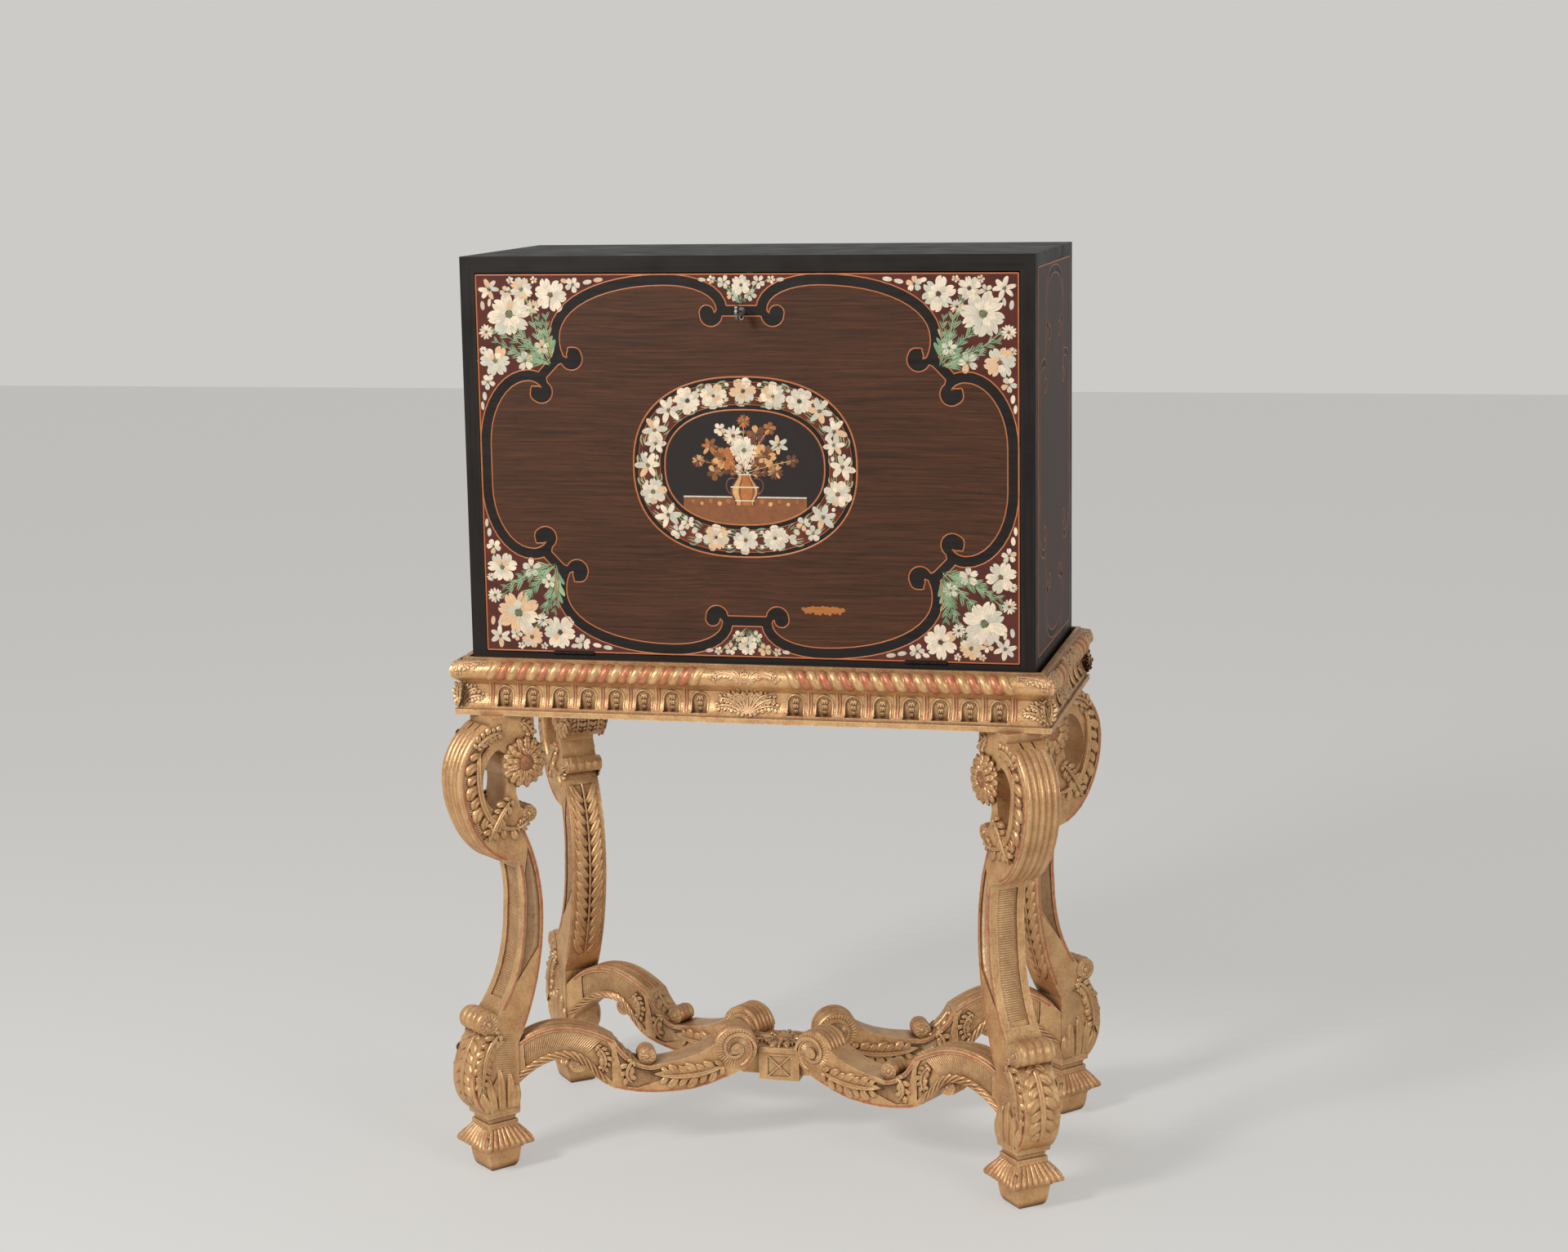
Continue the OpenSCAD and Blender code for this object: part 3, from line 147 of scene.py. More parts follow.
# Sawn veneer, waxed: broad figure and streaks drawn out along the grain, and fine pores
def veneer(name, light, mid, dark, grain, rough, knots=0.0):
    mat, tree, place = newMaterial(name)
    lengthwise = np.array([3.0 if k == grain else 1.0 for k in "XYZ"])
    across = np.array([0.0 if k == grain else 1.0 for k in "XYZ"])
    warp = streaks(tree, place, lengthwise * 1.4, 0.0, 1.0, 2.0)
    bent = addNode(tree, "VectorMath", {"operation": "MULTIPLY_ADD", 0: warp, 1: [0.012] * 3, 2: place})
    broad = streaks(tree, bent, lengthwise * 0.8 + across * 26, 0.30, 0.72, 7.0, 0.62, knots)
    thin = streaks(tree, bent, lengthwise * 2.4 + across * 260, 0.38, 0.74, 5.0, 0.65)
    pores = streaks(tree, place, lengthwise * 14 + across * 900, 0.60, 0.72, 1.0)
    colour = layered(tree, mid, [(broad, 0.75, dark), (thin, 0.6, light), (pores, 0.6, dark)])
    height = addNode(tree, "Math", {"operation": "ADD", 0: pores, 1: thin})
    return finishMaterial(mat, colour, rough, height, 0.12, 0.0002, {"Specular IOR Level": 0.28})


# Ebony: near black, close grained, waxed to a dull sheen with fine rubbing marks
def ebonyWood(name, grain):
    mat, tree, place = newMaterial(name)
    line = streaks(tree, place, [4.0 if k == grain else 150.0 for k in "XYZ"], 0.35, 0.7)
    haze = streaks(tree, place, 18, 0.3, 0.7)
    rough = addNode(tree, "MapRange", {"To Min": 0.36, "To Max": 0.54, "Value": haze})
    colour = layered(tree, "#110d0b", [(line, 1.0, "#211914")])
    return finishMaterial(mat, colour, rough, line, 0.10, 0.0002, {"Specular IOR Level": 0.26})


# Thin inlays, each cut from one sheet: the piece's own tint picks its colour. Engraved lines are abs(sin) of the
# place across, and fade from the foot to the tip. Specks are a colour and its share.
def inlay(name, colours, rough, speckMm, speck):
    mat, tree, place = newMaterial(name)
    tint = addNode(tree, "Attribute", {"attribute_name": "tint"}, "Fac")
    steps = len(colours) - 1
    layers = []
    for k in range(steps):
        edges = {"From Min": (k + 0.35) / steps, "From Max": (k + 0.65) / steps, "Value": tint}
        layers.append((addNode(tree, "MapRange", edges), 1.0, colours[k + 1]))
    cloud = streaks(tree, place, 1000 / speckMm, 0.35, 0.7, 5.0, 0.6)
    spot = addNode(tree, "Attribute", {"attribute_name": "mark"}, "Vector")
    across, along = (addNode(tree, "SeparateXYZ", {0: spot}, k) for k in (0, 1))
    wave = addNode(tree, "Math", {"operation": "MULTIPLY", 0: across, 1: 8.6})
    for how in ("SINE", "ABSOLUTE"):
        wave = addNode(tree, "Math", {"operation": how, 0: wave})
    line = addNode(tree, "MapRange", {"From Min": 0.32, "From Max": 0.10, "Value": wave})
    fade = addNode(tree, "MapRange", {"From Min": 0.85, "From Max": 0.25, "Value": along})
    line = addNode(tree, "Math", {"operation": "MULTIPLY", 0: line, 1: fade})
    colour = layered(tree, colours[0], layers + [(cloud, speck[1], speck[0]), (line, 0.7, colours[-1])])
    height = addNode(tree, "Math", {"operation": "SUBTRACT", 0: cloud, 1: line})
    return finishMaterial(mat, colour, rough, height, 0.10, 0.0002)


# Forged iron, filed or blackened, and turned brass under old lacquer: cloudy, its roughness spread over 0.2
def metalWork(name, dark, light, rough):
    mat, tree, place = newMaterial(name)
    cloud = streaks(tree, place, 120, 0.3, 0.7, 5.0)
    spread = addNode(tree, "MapRange", {"To Min": rough, "To Max": rough + 0.2, "Value": cloud})
    colour = layered(tree, dark, [(cloud, 1.0, light)])
    return finishMaterial(mat, colour, spread, cloud, 0.2, 0.0003, {"Metallic": 0.9})


gilt = giltwood("waterGiltOak")
ebonyX = ebonyWood("ebonyAlongX", "X")
ebonyZ = ebonyWood("ebonyUpright", "Z")
rosewood = veneer("rosewoodFront", "#683c21", "#3e2413", "#22130b", "X", 0.46, 0.5)
rosewoodSide = veneer("rosewoodUpright", "#553828", "#3a251a", "#221510", "Z", 0.46, 0.2)
walnut = veneer("waxedWalnut", "#8a6544", "#6d4a2e", "#452c1b", "X", 0.45)
walnutPale = veneer("paleWalnut", "#c09a68", "#a37c4c", "#7d5a34", "X", 0.45)
bareWood = veneer("bareVeneer", "#c07a3e", "#a4612c", "#7c4319", "X", 0.6)
deal = veneer("plainDeal", "#9c7a52", "#80603e", "#5a4029", "X", 0.6)
shell = inlay("tortoiseshell", ["#2f110c", "#3d150d", "#280e0a", "#4a1a10"], 0.30, 42, ("#8a3a1a", 0.6))
heartwood = inlay("flowerHearts", ["#5d6a4c", "#8d8a5c", "#46382a", "#7c5634", "#2c2119"], 0.4, 5, ("#33281e", 0.5))
pearl = inlay("motherOfPearl", ["#e6d6bd", "#cfc4b0", "#ecd8bb", "#c6c3b0", "#dcb287", "#5c5046"], 0.26, 9,
              ("#a59b88", 0.5))
stained = inlay("greenStainedHolly", ["#8ba37b", "#71906a", "#9fb288", "#7ba07c", "#43543a"], 0.42, 6,
                ("#56744c", 0.35))
boxwood = inlay("orangeBoxwoodString", ["#c4743a", "#b5652f", "#cd8145"], 0.4, 9, ("#8f4c22", 0.4))
horn = inlay("darkHorn", ["#1c1411", "#2c1c15", "#3a2216"], 0.35, 12, ("#0e0a08", 0.5))
fruitwood = inlay("colouredFruitwoods", ["#b56c32", "#86502a", "#d8a468", "#6b3a22", "#2c1810"], 0.4, 8,
                  ("#4a2a18", 0.4))
iron = metalWork("filedIron", "#5c5854", "#a09a92", 0.32)
darkIron = metalWork("blackenedIron", "#191614", "#2e2a26", 0.45)
brass = metalWork("oldBrass", "#8a6a32", "#c9a253", 0.28)
print("materials made")


# Curves, in millimetres. The point on the unit circle at an angle, and a direction turned a quarter to the left
def circle(a):
    return np.stack([np.cos(a), np.sin(a)], -1)


def leftward(d):
    return np.stack([-d[..., 1], d[..., 0]], -1)


def unit(d):
    return d / np.linalg.norm(d)


# Cubic curve: (1 - t)^3 a + 3 (1 - t)^2 t b + 3 (1 - t) t^2 c + t^3 d
def bez(a, b, c, d, n=24):
    t = np.linspace(0, 1, n + 1)[:, None]
    a, b, c, d = (np.asarray(p, float) for p in (a, b, c, d))
    return (1 - t) ** 3 * a + 3 * (1 - t) ** 2 * t * b + 3 * (1 - t) * t * t * c + t ** 3 * d


# Paths end to end, each leaving out its first point, which the last one ended on
def join(*paths):
    return np.concatenate([paths[0]] + [p[1:] for p in paths[1:]])


# The sum of a path's steps
def lengthOf(path):
    return np.linalg.norm(np.diff(path, axis=0), axis=1).sum()


# Evenly spaced points along a path
def evenly(path, count):
    path = np.asarray(path, float)
    s = np.concatenate([[0], np.cumsum(np.linalg.norm(np.diff(path, axis=0), axis=1))])
    at = np.linspace(0, s[-1], count)
    return np.stack([np.interp(at, s, path[:, k]) for k in range(path.shape[1])], 1)


# Unit normals a quarter turn left of a flat path
def leftOf(path):
    n = len(path)
    side = leftward(path[np.minimum(np.arange(n) + 1, n - 1)] - path[np.maximum(np.arange(n) - 1, 0)])
    return side / np.maximum(np.linalg.norm(side, axis=1)[:, None], 1e-9)


# A path moved by d along its normals
def shifted(path, d):
    return path + d * leftOf(path)


# The stretch of a line between two shares of its points
def part(path, a, b):
    return path[int(a * (len(path) - 1)):int(b * (len(path) - 1)) + 1]


# The corners of a box, from its low left one round to the same
def boxLine(x0, x1, z0, z1):
    return np.array([[x0, z0], [x1, z0], [x1, z1], [x0, z1], [x0, z0]], float)


# A place function puts two lengths and a height over the ground on a face. On a flat face square to an axis the
# lengths a and b lie along the other two, and h rises the way that the face looks.
def flatFace(axis, at, way):
    def place(a, b, h):
        spot = [a, b]
        spot.insert(axis, at + way * h)
        return np.stack(np.broadcast_arrays(*spot), -1)
    return place


onFront = flatFace(1, -case["halfD"], -1)


# A patch is a grid of points, the grid behind it that it faces away from, its tint, and for engraved petals the
# mark: the place across and along
def laid(place, pts, h, tint=0.0):
    spots, back = (place(pts[..., 0], pts[..., 1], h - under) for under in (0.0, 2.0))
    return {"pts": spots, "back": back, "tint": np.broadcast_to(tint, spots.shape[:2]),
            "mark": np.broadcast_to([0.0, 1.0, 0.0], spots.shape)}


# Groups of patches for one piece, each in the next of its materials
def byMaterial(*groups):
    return [dict(p, pick=k) for k, group in enumerate(groups) for p in group]


def addObject(name, data):
    thing = bpy.data.objects.new(name, data)
    bpy.context.collection.objects.link(thing)
    return thing


# A mesh at the origin, from points in metres
def addMesh(name, points, faces, materials):
    mesh = bpy.data.meshes.new(name)
    mesh.from_pydata(points, [], faces)
    for m in materials:
        mesh.materials.append(m)
    return addObject(name, mesh)


# Puts patches into one mesh piece, each facing away from the grid behind it, and merges points that meet
def makePiece(name, patches, materials, body):
    points, faces, picks, base = [], [], [], 0
    for p in patches:
        nu, nv = p["pts"].shape[:2]
        i, j = np.meshgrid(np.arange(nu - ("ringU" not in p)), np.arange(nv - 1), indexing="ij")
        i2, j2 = (i + 1) % nu, j + 1
        quad = np.stack([i * nv + j, i2 * nv + j, i2 * nv + j2, i * nv + j2], -1).reshape(-1, 4)
        flat = p["pts"].reshape(-1, 3)
        corner = flat[quad]
        normal = np.cross(corner[:, 2] - corner[:, 0], corner[:, 3] - corner[:, 1])
        out = corner.mean(1) - p["back"].reshape(-1, 3)[quad].mean(1)
        points.append(flat)
        faces.append((quad[:, ::-1] if (normal * out).sum() < 0 else quad) + base)
        picks.append(np.full(len(quad), p.get("pick", 0)))
        base += len(flat)
    materials = materials if isinstance(materials, list) else [materials]
    piece = addMesh(name, np.concatenate(points) * 0.001, np.concatenate(faces), materials)
    mesh = piece.data
    mesh.polygons.foreach_set("material_index", np.concatenate(picks).astype(np.int32))
    for key, kind, field in (("tint", "FLOAT", "value"), ("mark", "FLOAT_VECTOR", "vector")):
        values = np.concatenate([p[key].reshape(-1) for p in patches]).astype(np.float32)
        mesh.attributes.new(key, kind, "POINT").data.foreach_set(field, values)
    merge = 0.00001
    bm = bmesh.new()
    bm.from_mesh(mesh)
    bmesh.ops.remove_doubles(bm, verts=bm.verts, dist=merge)
    bmesh.ops.dissolve_degenerate(bm, edges=bm.edges, dist=merge / 2)
    bm.to_mesh(mesh)
    bm.free()
    mesh.shade_smooth()
    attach(piece, body)
    return piece


# String: a ribbon of width w along a path, its edges sunk in the ground
def stringLine(place, path, w, h, tint=0.0, count=None):
    path = evenly(path, count or max(3, int(lengthOf(path) / 3)))
    across = np.array([-0.5, -0.42, 0.42, 0.5]) * w
    pts = path[:, None] + across[None, :, None] * leftOf(path)[:, None]
    return laid(place, pts, np.array([-0.1, h, h, -0.1]), tint)


# Strings along the four sides of a box
def boxStrings(place, box, w, h, tint, count):
    return [stringLine(place, box[i:i + 2], w, h, tint, count) for i in range(4)]


# Petal or leaf about a curved rib: half width w * sin(pi t^fat)^0.5, a crown across with a crease down the middle,
# a cleft at the tip that pushes the sides on, and a dark sawn edge
def blade(place, rib, w, h, tint, fat=0.7, cleft=0.0):
    rib = evenly(rib, 9)
    t = np.linspace(0, 1, len(rib))[:, None]
    v = np.array([-1, -0.84, -0.4, 0, 0.4, 0.84, 1])[None, :]
    half = w * np.sin(np.pi * t ** fat) ** 0.5
    pts = rib[:, None] + (half * v)[..., None] * leftOf(rib)[:, None]
    pts = pts + (cleft * w * (np.abs(v) ** 1.5 - 0.35) * t ** 6)[..., None] * unit(rib[-1] - rib[-2])
    crown = (1 - np.abs(v) ** 2.5) * (1 - 0.45 * np.exp(-(v / 0.16) ** 2))
    high = h * crown * np.sin(np.pi * np.clip(t * 0.94 + 0.05, 0, 1)) ** 0.3
    petal = laid(place, pts, high - 0.10, np.where(np.abs(v) > 0.9, 1.0, 0.8 * tint) + 0 * t)
    return dict(petal, mark=np.stack(np.broadcast_arrays(v, t, 0.0), -1))


# Rings about a point, at shares q of the radius r and at heights h
def rings(place, c, r, q, h, tint, n):
    a = np.linspace(0, 2 * np.pi, n, endpoint=False)[:, None]
    return dict(laid(place, np.asarray(c) + (r * q)[:, None] * circle(a), h, tint), ringU=True)


# Flat disc: height h * (1 - q^3)
def disc(place, c, r, h, tint, n=12):
    q = np.array([0.0, 0.6, 1.0])
    return rings(place, c, r, q, h * (1 - q ** 3) - 0.08, tint, n)


# Round boss: height high * sqrt(1 - q^2)
def boss(place, c, r, high, tint=0.0, n=20):
    q = np.array([1.0, 0.97, 0.8, 0.5, 0.0])
    return rings(place, c, r, q, high * np.sqrt(1 - q * q) - 0.5 * (q > 0.99), tint, n)


# A strip between two lines: (1 - v) of the first and v of the second, v from 0 to 1. A sheet is one that fills a box.
def strip(place, first, second, h, tint=0.0, nu=80, nv=6):
    v = np.linspace(0, 1, nv)[None, :, None]
    return laid(place, evenly(first, nu)[:, None] * (1 - v) + evenly(second, nu)[:, None] * v, h, tint)


def sheet(place, x0, x1, z0, z1, h, tint=0.0, nu=8, nv=12):
    return strip(place, [[x0, z0], [x0, z1]], [[x1, z0], [x1, z1]], h, tint, nu, nv)


# Flowers by kind: petals, their half width against the radius, how blunt, the cleft at the tip, the heart's share of
# the radius, and petals in the inner ring
flowerKinds = {
    "rose": {"petals": 6, "wide": 0.50, "fat": 1.6, "cleft": 0.5, "heart": 0.20, "inner": 5},
    "anemone": {"petals": 8, "wide": 0.40, "fat": 1.5, "cleft": 0.3, "heart": 0.24, "inner": 6},
    "lily": {"petals": 6, "wide": 0.30, "fat": 0.85, "cleft": 0.0, "heart": 0.14, "inner": 0},
    "daisy": {"petals": 12, "wide": 0.22, "fat": 1.2, "cleft": 0.0, "heart": 0.26, "inner": 0},
    "peony": {"petals": 7, "wide": 0.46, "fat": 1.6, "cleft": 0.4, "heart": 0.12, "inner": 6},
    "jasmine": {"petals": 5, "wide": 0.46, "fat": 1.4, "cleft": 0.2, "heart": 0.18, "inner": 0},
}


# A flower: an outer and an inner ring of blades round a heart, with specks about it
def flower(place, c, r, kind, rng, petals, hearts):
    k = flowerKinds[kind]
    c = np.asarray(c, float)
    turn, base = rng.uniform(0, 2 * np.pi), rng.uniform(0, 1)
    for ring, (count, size, high) in enumerate([(k["petals"], 1.0, 0.30), (k["inner"], 0.58, 0.46)]):
        for i in range(count):
            d = circle(turn + 0.4 * ring + 2 * np.pi * (i + rng.uniform(-0.08, 0.08)) / count)
            reach = 1.1 * r * size * rng.uniform(0.92, 1.05)
            mid = c + 0.55 * reach * d + rng.uniform(-0.10, 0.10) * reach * leftward(d)
            rib = bez(c + 0.10 * r * d, mid, mid, c + reach * d, 8)
            tone = np.clip(base + rng.normal(0, 0.32), 0, 1)
            w = r * size * k["wide"] * rng.uniform(0.9, 1.1)
            petals.append(blade(place, rib, w, high + rng.uniform(0, 0.08), tone, k["fat"], k["cleft"]))
    hearts.append(disc(place, c, r * k["heart"], 0.62, rng.choice([0.1, 0.45, 0.8])))
    for i in range(int(r / 4)):
        speck = c + r * k["heart"] * 0.7 * circle(rng.uniform(0, 2 * np.pi))
        hearts.append(disc(place, speck, r * 0.06, 0.75, rng.uniform(0, 1), 6))


# A spray: stems that fan from a root, with leaves in pairs along them
def spray(place, root, heads, rng, leaves, leafL=13):
    root = np.asarray(root, float)
    for head in np.asarray(heads, float):
        gap = head - root
        bow = leftward(gap) * rng.uniform(-0.08, 0.08)
        stem = bez(root, root + gap * 0.35 + bow, root + gap * 0.7 + bow, head, 16)
        leaves.append(stringLine(place, stem, 1.3, 0.16, rng.uniform(0, 1)))
        for i in range(3, 16, 3 if leafL > 14 else 2):
            p, d = stem[i], unit(stem[i + 1] - stem[i - 1])
            for s in (-1, 1):
                n = s * leftward(d)
                size = leafL * rng.uniform(0.7, 1.1) * (1.15 - 0.5 * i / 16)
                tip = p + size * (0.90 * d + 0.42 * n)
                rib = bez(p, p + size * 0.4 * d, p + size * (0.6 * d + 0.3 * n), tip, 8)
                leaves.append(blade(place, rib, size * 0.20, 0.24, rng.uniform(0, 1), 0.8))


# A straight bud or petal on the front, from x, z by dx, dz
def bud(x, z, dx, dz, w, tint):
    return blade(onFront, [[x, z], [x + dx / 2, z + dz / 2], [x + dx, z + dz]], w, 0.34, tint, 0.9)


# A node's points in the model
def spotsOf(node):
    return np.array([(node.matrix_world @ v.co)[:] for v in node.data.vertices]) * 1000


# Closed outlines of a flat solid's front face, as paths (x, z), the widest first: edges with a face on one side only
def outlines(nodeName):
    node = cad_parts[nodeName]
    spots = spotsOf(node)
    key = np.unique(np.round(spots, 2), axis=0, return_inverse=True)[1].reshape(-1)
    where = {int(k): spots[i, [0, 2]] for i, k in enumerate(key)}
    loops = [[int(key[v]) for v in p.vertices] for p in node.data.polygons
             if spots[p.vertices[:], 1].max() < -case["halfD"] + 0.05]
    edges = {(a, b) for loop in loops for a, b in zip(loop, loop[1:] + loop[:1])}
    follow = {a: b for a, b in edges if (b, a) not in edges}
    paths = []
    while follow:
        start, here = follow.popitem()
        path = [start]
        while here != start and here in follow:
            path.append(here)
            here = follow.pop(here)
        path = np.array([where[k] for k in path + [start]])
        if lengthOf(path) > 20:
            paths.append(path)
    return sorted(paths, key=lambda path: -np.ptp(path[:, 0]))


# Oval a little squarer than an ellipse, as in the solids: a * cos^0.85 and b * sin^0.85, each with its sign
def oval(a, b, n=160):
    t = np.linspace(0, 2 * np.pi, n)
    c, s = np.cos(t), np.sin(t)
    return np.stack([a * np.sign(c) * np.abs(c) ** 0.85, b * np.sign(s) * np.abs(s) ** 0.85 + panel["midZ"]], 1)


# The ground between the strapwork's outer edge and the panel's, as triangles whose middles lie outside the edge
def cornerGround(outer):
    hw, hh, z0 = panel["halfW"] - 0.6, panel["halfH"] - 0.6, panel["midZ"]
    points = np.concatenate([boxLine(-hw, hw, z0 - hh, z0 + hh)[:4], outer[:-1]])
    n = len(outer) - 1
    rim = [(4 + i, 4 + (i + 1) % n) for i in range(n)] + [(0, 1), (1, 2), (2, 3), (3, 0)]
    verts, _, faces = delaunay_2d_cdt([Vector(p) for p in points], rim, [], 0, 0.001)[:3]
    verts, faces = np.array([v[:] for v in verts]), np.array(faces)
    mid = verts[faces].mean(1)[:, None]
    a, b = outer[:-1], outer[1:]
    slope = (b[:, 0] - a[:, 0]) / (b[:, 1] - a[:, 1] + 1e-12)
    cross = ((a[:, 1] > mid[..., 1]) != (b[:, 1] > mid[..., 1])) & (
        mid[..., 0] < slope * (mid[..., 1] - a[:, 1]) + a[:, 0])
    faces = faces[cross.sum(1) % 2 == 0]
    pts = onFront(verts[:, 0], verts[:, 1], 0.06) * 0.001
    tri = pts[faces]
    flip = np.cross(tri[:, 1] - tri[:, 0], tri[:, 2] - tri[:, 0])[:, 1] > 0
    faces[flip] = faces[flip][:, ::-1]
    ground = addMesh("frontShellGround", pts, faces, [shell])
    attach(ground, "flap")


# The front's flowers: x and z from the panel's centre, radius and kind, for one quarter, or one half of the ring.
# Buds are x, z, their reach in x and z, and half width. Heads are where a corner's leaf stems end.
flowerPlan = {
    "corner": [(-430, 291, 21, "lily"), (-393, 306, 9, "jasmine"), (-401, 287, 9, "jasmine"),
               (-374, 291, 17, "anemone"), (-324, 282, 30, "rose"), (-285, 298, 13, "jasmine"),
               (-396, 250, 31, "anemone"), (-437, 221, 15, "daisy"), (-423, 173, 29, "rose"),
               (-371, 173, 14, "jasmine"), (-341, 196, 11, "jasmine"), (-437, 138, 15, "jasmine"),
               (-352, 306, 8, "jasmine"), (-443, 190, 9, "daisy"), (-354, 262, 10, "daisy")],
    "cornerHeads": [(-362, 271), (-424, 221), (-421, 206), (-391, 186), (-357, 177), (-333, 244), (-347, 243),
                    (-380, 225), (-402, 240), (-338, 218)],
    "cornerBuds": [(-268, 301, 17, 3, 5), (-250, 305, 18, 2, 5), (-441, 256, -2, 17, 5), (-431, 262, 2, 15, 4),
                   (-444, 122, 1, -16, 5), (-448, 106, 1, -16, 4), (-306, 306, 13, -3, 5)],
    "middle": [(0, 297, 16, "rose"), (29, 302, 11, "jasmine"), (-29, 302, 11, "jasmine"), (15, 281, 10, "jasmine"),
               (-15, 281, 10, "jasmine"), (50, 306, 7, "jasmine"), (-50, 306, 7, "jasmine")],
    "ring": [(0, 125, 22, "rose"), (50, 117, 20, "peony"), (94, 109, 18, "anemone"), (127, 93, 19, "lily"),
             (151, 60, 16, "lily"), (150, 38, 14, "lily"), (164, 2, 20, "lily"), (156, -42, 21, "anemone"),
             (131, -80, 20, "lily"), (98, -92, 9, "jasmine"), (114, -107, 10, "jasmine"), (50, -116, 21, "peony"),
             (0, -120, 22, "rose")],
    "ringBuds": [(82, -101, 9, -9, 6), (86, -112, -14, -4, 6), (74, -120, 14, -3, 6), (24, 133, 7, 6, 4),
                 (26, 115, 5, -8, 4), (73, 124, 6, 4, 4), (113, 110, 7, -2, 4), (143, 78, 8, 4, 4),
                 (166, 24, 2, -8, 4), (148, 20, 0, -9, 4), (167, -22, -1, -8, 4), (150, -64, -3, -7, 4),
                 (25, -129, 6, -4, 4), (24, -108, 7, 3, 4)],
    "vase": [(0, 28, 17, "rose"), (-34, 14, 14, "anemone"), (33, 18, 15, "peony"), (-18, 52, 12, "daisy"),
             (20, 54, 12, "jasmine"), (-58, 34, 11, "lily"), (58, 38, 12, "lily"), (-50, -8, 10, "jasmine"),
             (52, -6, 10, "daisy"), (-40, 62, 8, "jasmine"), (44, 64, 8, "jasmine"), (0, 76, 8, "daisy"),
             (-2, -2, 10, "jasmine"), (-78, 10, 8, "daisy"), (80, 12, 8, "jasmine")],
}
frontInlays = {"frontPearlPetals": pearl, "frontFlowerHearts": heartwood, "frontLeaves": stained,
               "frontStrings": boxwood, "ovalBouquet": fruitwood, "ovalRingGround": shell, "ovalGround": horn}


# Strings round the straps and the panel, and flowers in the corners and at the middles of the long sides
def frontBorder(rng, petals, hearts, leaves, strings):
    z0, room, grown = panel["midZ"], 2.5, 1.16  # a flower grows to 1.16 times its radius, and stays inside the panel
    for path in outlines("front_strapwork"):
        strings.append(stringLine(onFront, path, 2.0, 0.14, rng.uniform(0.2, 0.6), int(lengthOf(path) / 1.6)))
    for kx, kz in signPairs[::-1]:
        for x, z, r, kind in flowerPlan["corner"]:
            r = min(1.15 * r, (panel["halfH"] - room - abs(z)) / grown, (panel["halfW"] - room - abs(x)) / grown)
            flower(onFront, [kx * x, kz * z + z0], r, kind, rng, petals, hearts)
        heads = [[kx * x, kz * z + z0] for x, z in flowerPlan["cornerHeads"]]
        spray(onFront, [kx * -326, kz * 166 + z0], heads, rng, leaves, 27)
        for x, z, dx, dz, w in flowerPlan["cornerBuds"]:
            petals.append(bud(kx * x, kz * z + z0, kx * dx, kz * dz, w, rng.uniform(0, 1)))
    for kz in (1, -1):
        for x, z, r, kind in flowerPlan["middle"]:
            flower(onFront, [x, z0 + kz * z], r, kind, rng, petals, hearts)
        heads = [[x * 0.9, z0 + kz * z] for x, z, r, kind in flowerPlan["middle"]]
        spray(onFront, [0, z0 + kz * 266], heads, rng, leaves, 7)
        petals += [bud(k * 58, z0 + kz * 305, k * 15, kz * 2, 4, 0.3) for k in (-1, 1)]
    hw, hh = panel["halfW"] - 1.4, panel["halfH"] - 1.4
    strings += boxStrings(onFront, boxLine(-hw, hw, z0 - hh, z0 + hh), 2.2, 0.15, 0.6, 60)


# The oval's ring: strings on both edges of the ebony, and a red ground with a garland on it. Leaves lie in pairs
# between the flowers, along the ring's middle.
def ovalRing(rng, petals, hearts, leaves, strings, reds):
    a, b, ring, z0 = panel["ovalA"], panel["ovalB"], panel["ring"], panel["midZ"]
    for grow, w in ((0.6, 2.2), (-ring - 0.6, 2.2), (-8, 0.9), (-ring + 8, 0.9)):
        strings.append(stringLine(onFront, oval(a + grow, b + grow, 300), w, 0.15, 0.5, 300))
    reds.append(strip(onFront, oval(a - 8, b - 8), oval(a - ring + 8, b - ring + 8), 0.05, 0.3, 160, 4))
    for x, z, r, kind in flowerPlan["ring"]:
        for k in ((1, -1) if x else (1,)):
            flower(onFront, [k * x, z0 + z], min(1.3 * r, 21.5), kind, rng, petals, hearts)
    for x, z, dx, dz, w in flowerPlan["ringBuds"]:
        petals += [bud(k * x, z0 + z, k * dx, dz, w, rng.uniform(0, 1)) for k in (1, -1)]
    count = 30
    line = evenly(oval(a - ring / 2, b - ring / 2), count + 1)[:-1]
    for i, p in enumerate(line):
        d = unit(line[(i + 1) % count] - line[i - 1]) * (1 if p[0] > 0 else -1)
        for s in (-1, 1):
            n = s * leftward(d)
            for out, far in ((9, 30), (16, 20)):
                tip = p + d * far * rng.uniform(0.8, 1.2) + n * (out + rng.uniform(0, 4))
                rib = bez(p + n * out * 0.5, p + n * (out * 0.5 + 7), tip - 6 * d, tip, 8)
                leaves.append(blade(onFront, rib, 6.0, 0.2, rng.uniform(0, 1), 0.8))


# In the oval: a bouquet in a vase on a table, on a dark ground. The vase's half width is 8 + 17 * sin(pi t)^1.6, with
# a foot and a lip.
vasePlan = {"tableW": 104, "tableZ": -50, "footZ": -62, "tall": 52,
            "staves": [1, 0.45, 0.5, 0.1, 0.0, 0.1, 0.1, 0.45, 1]}


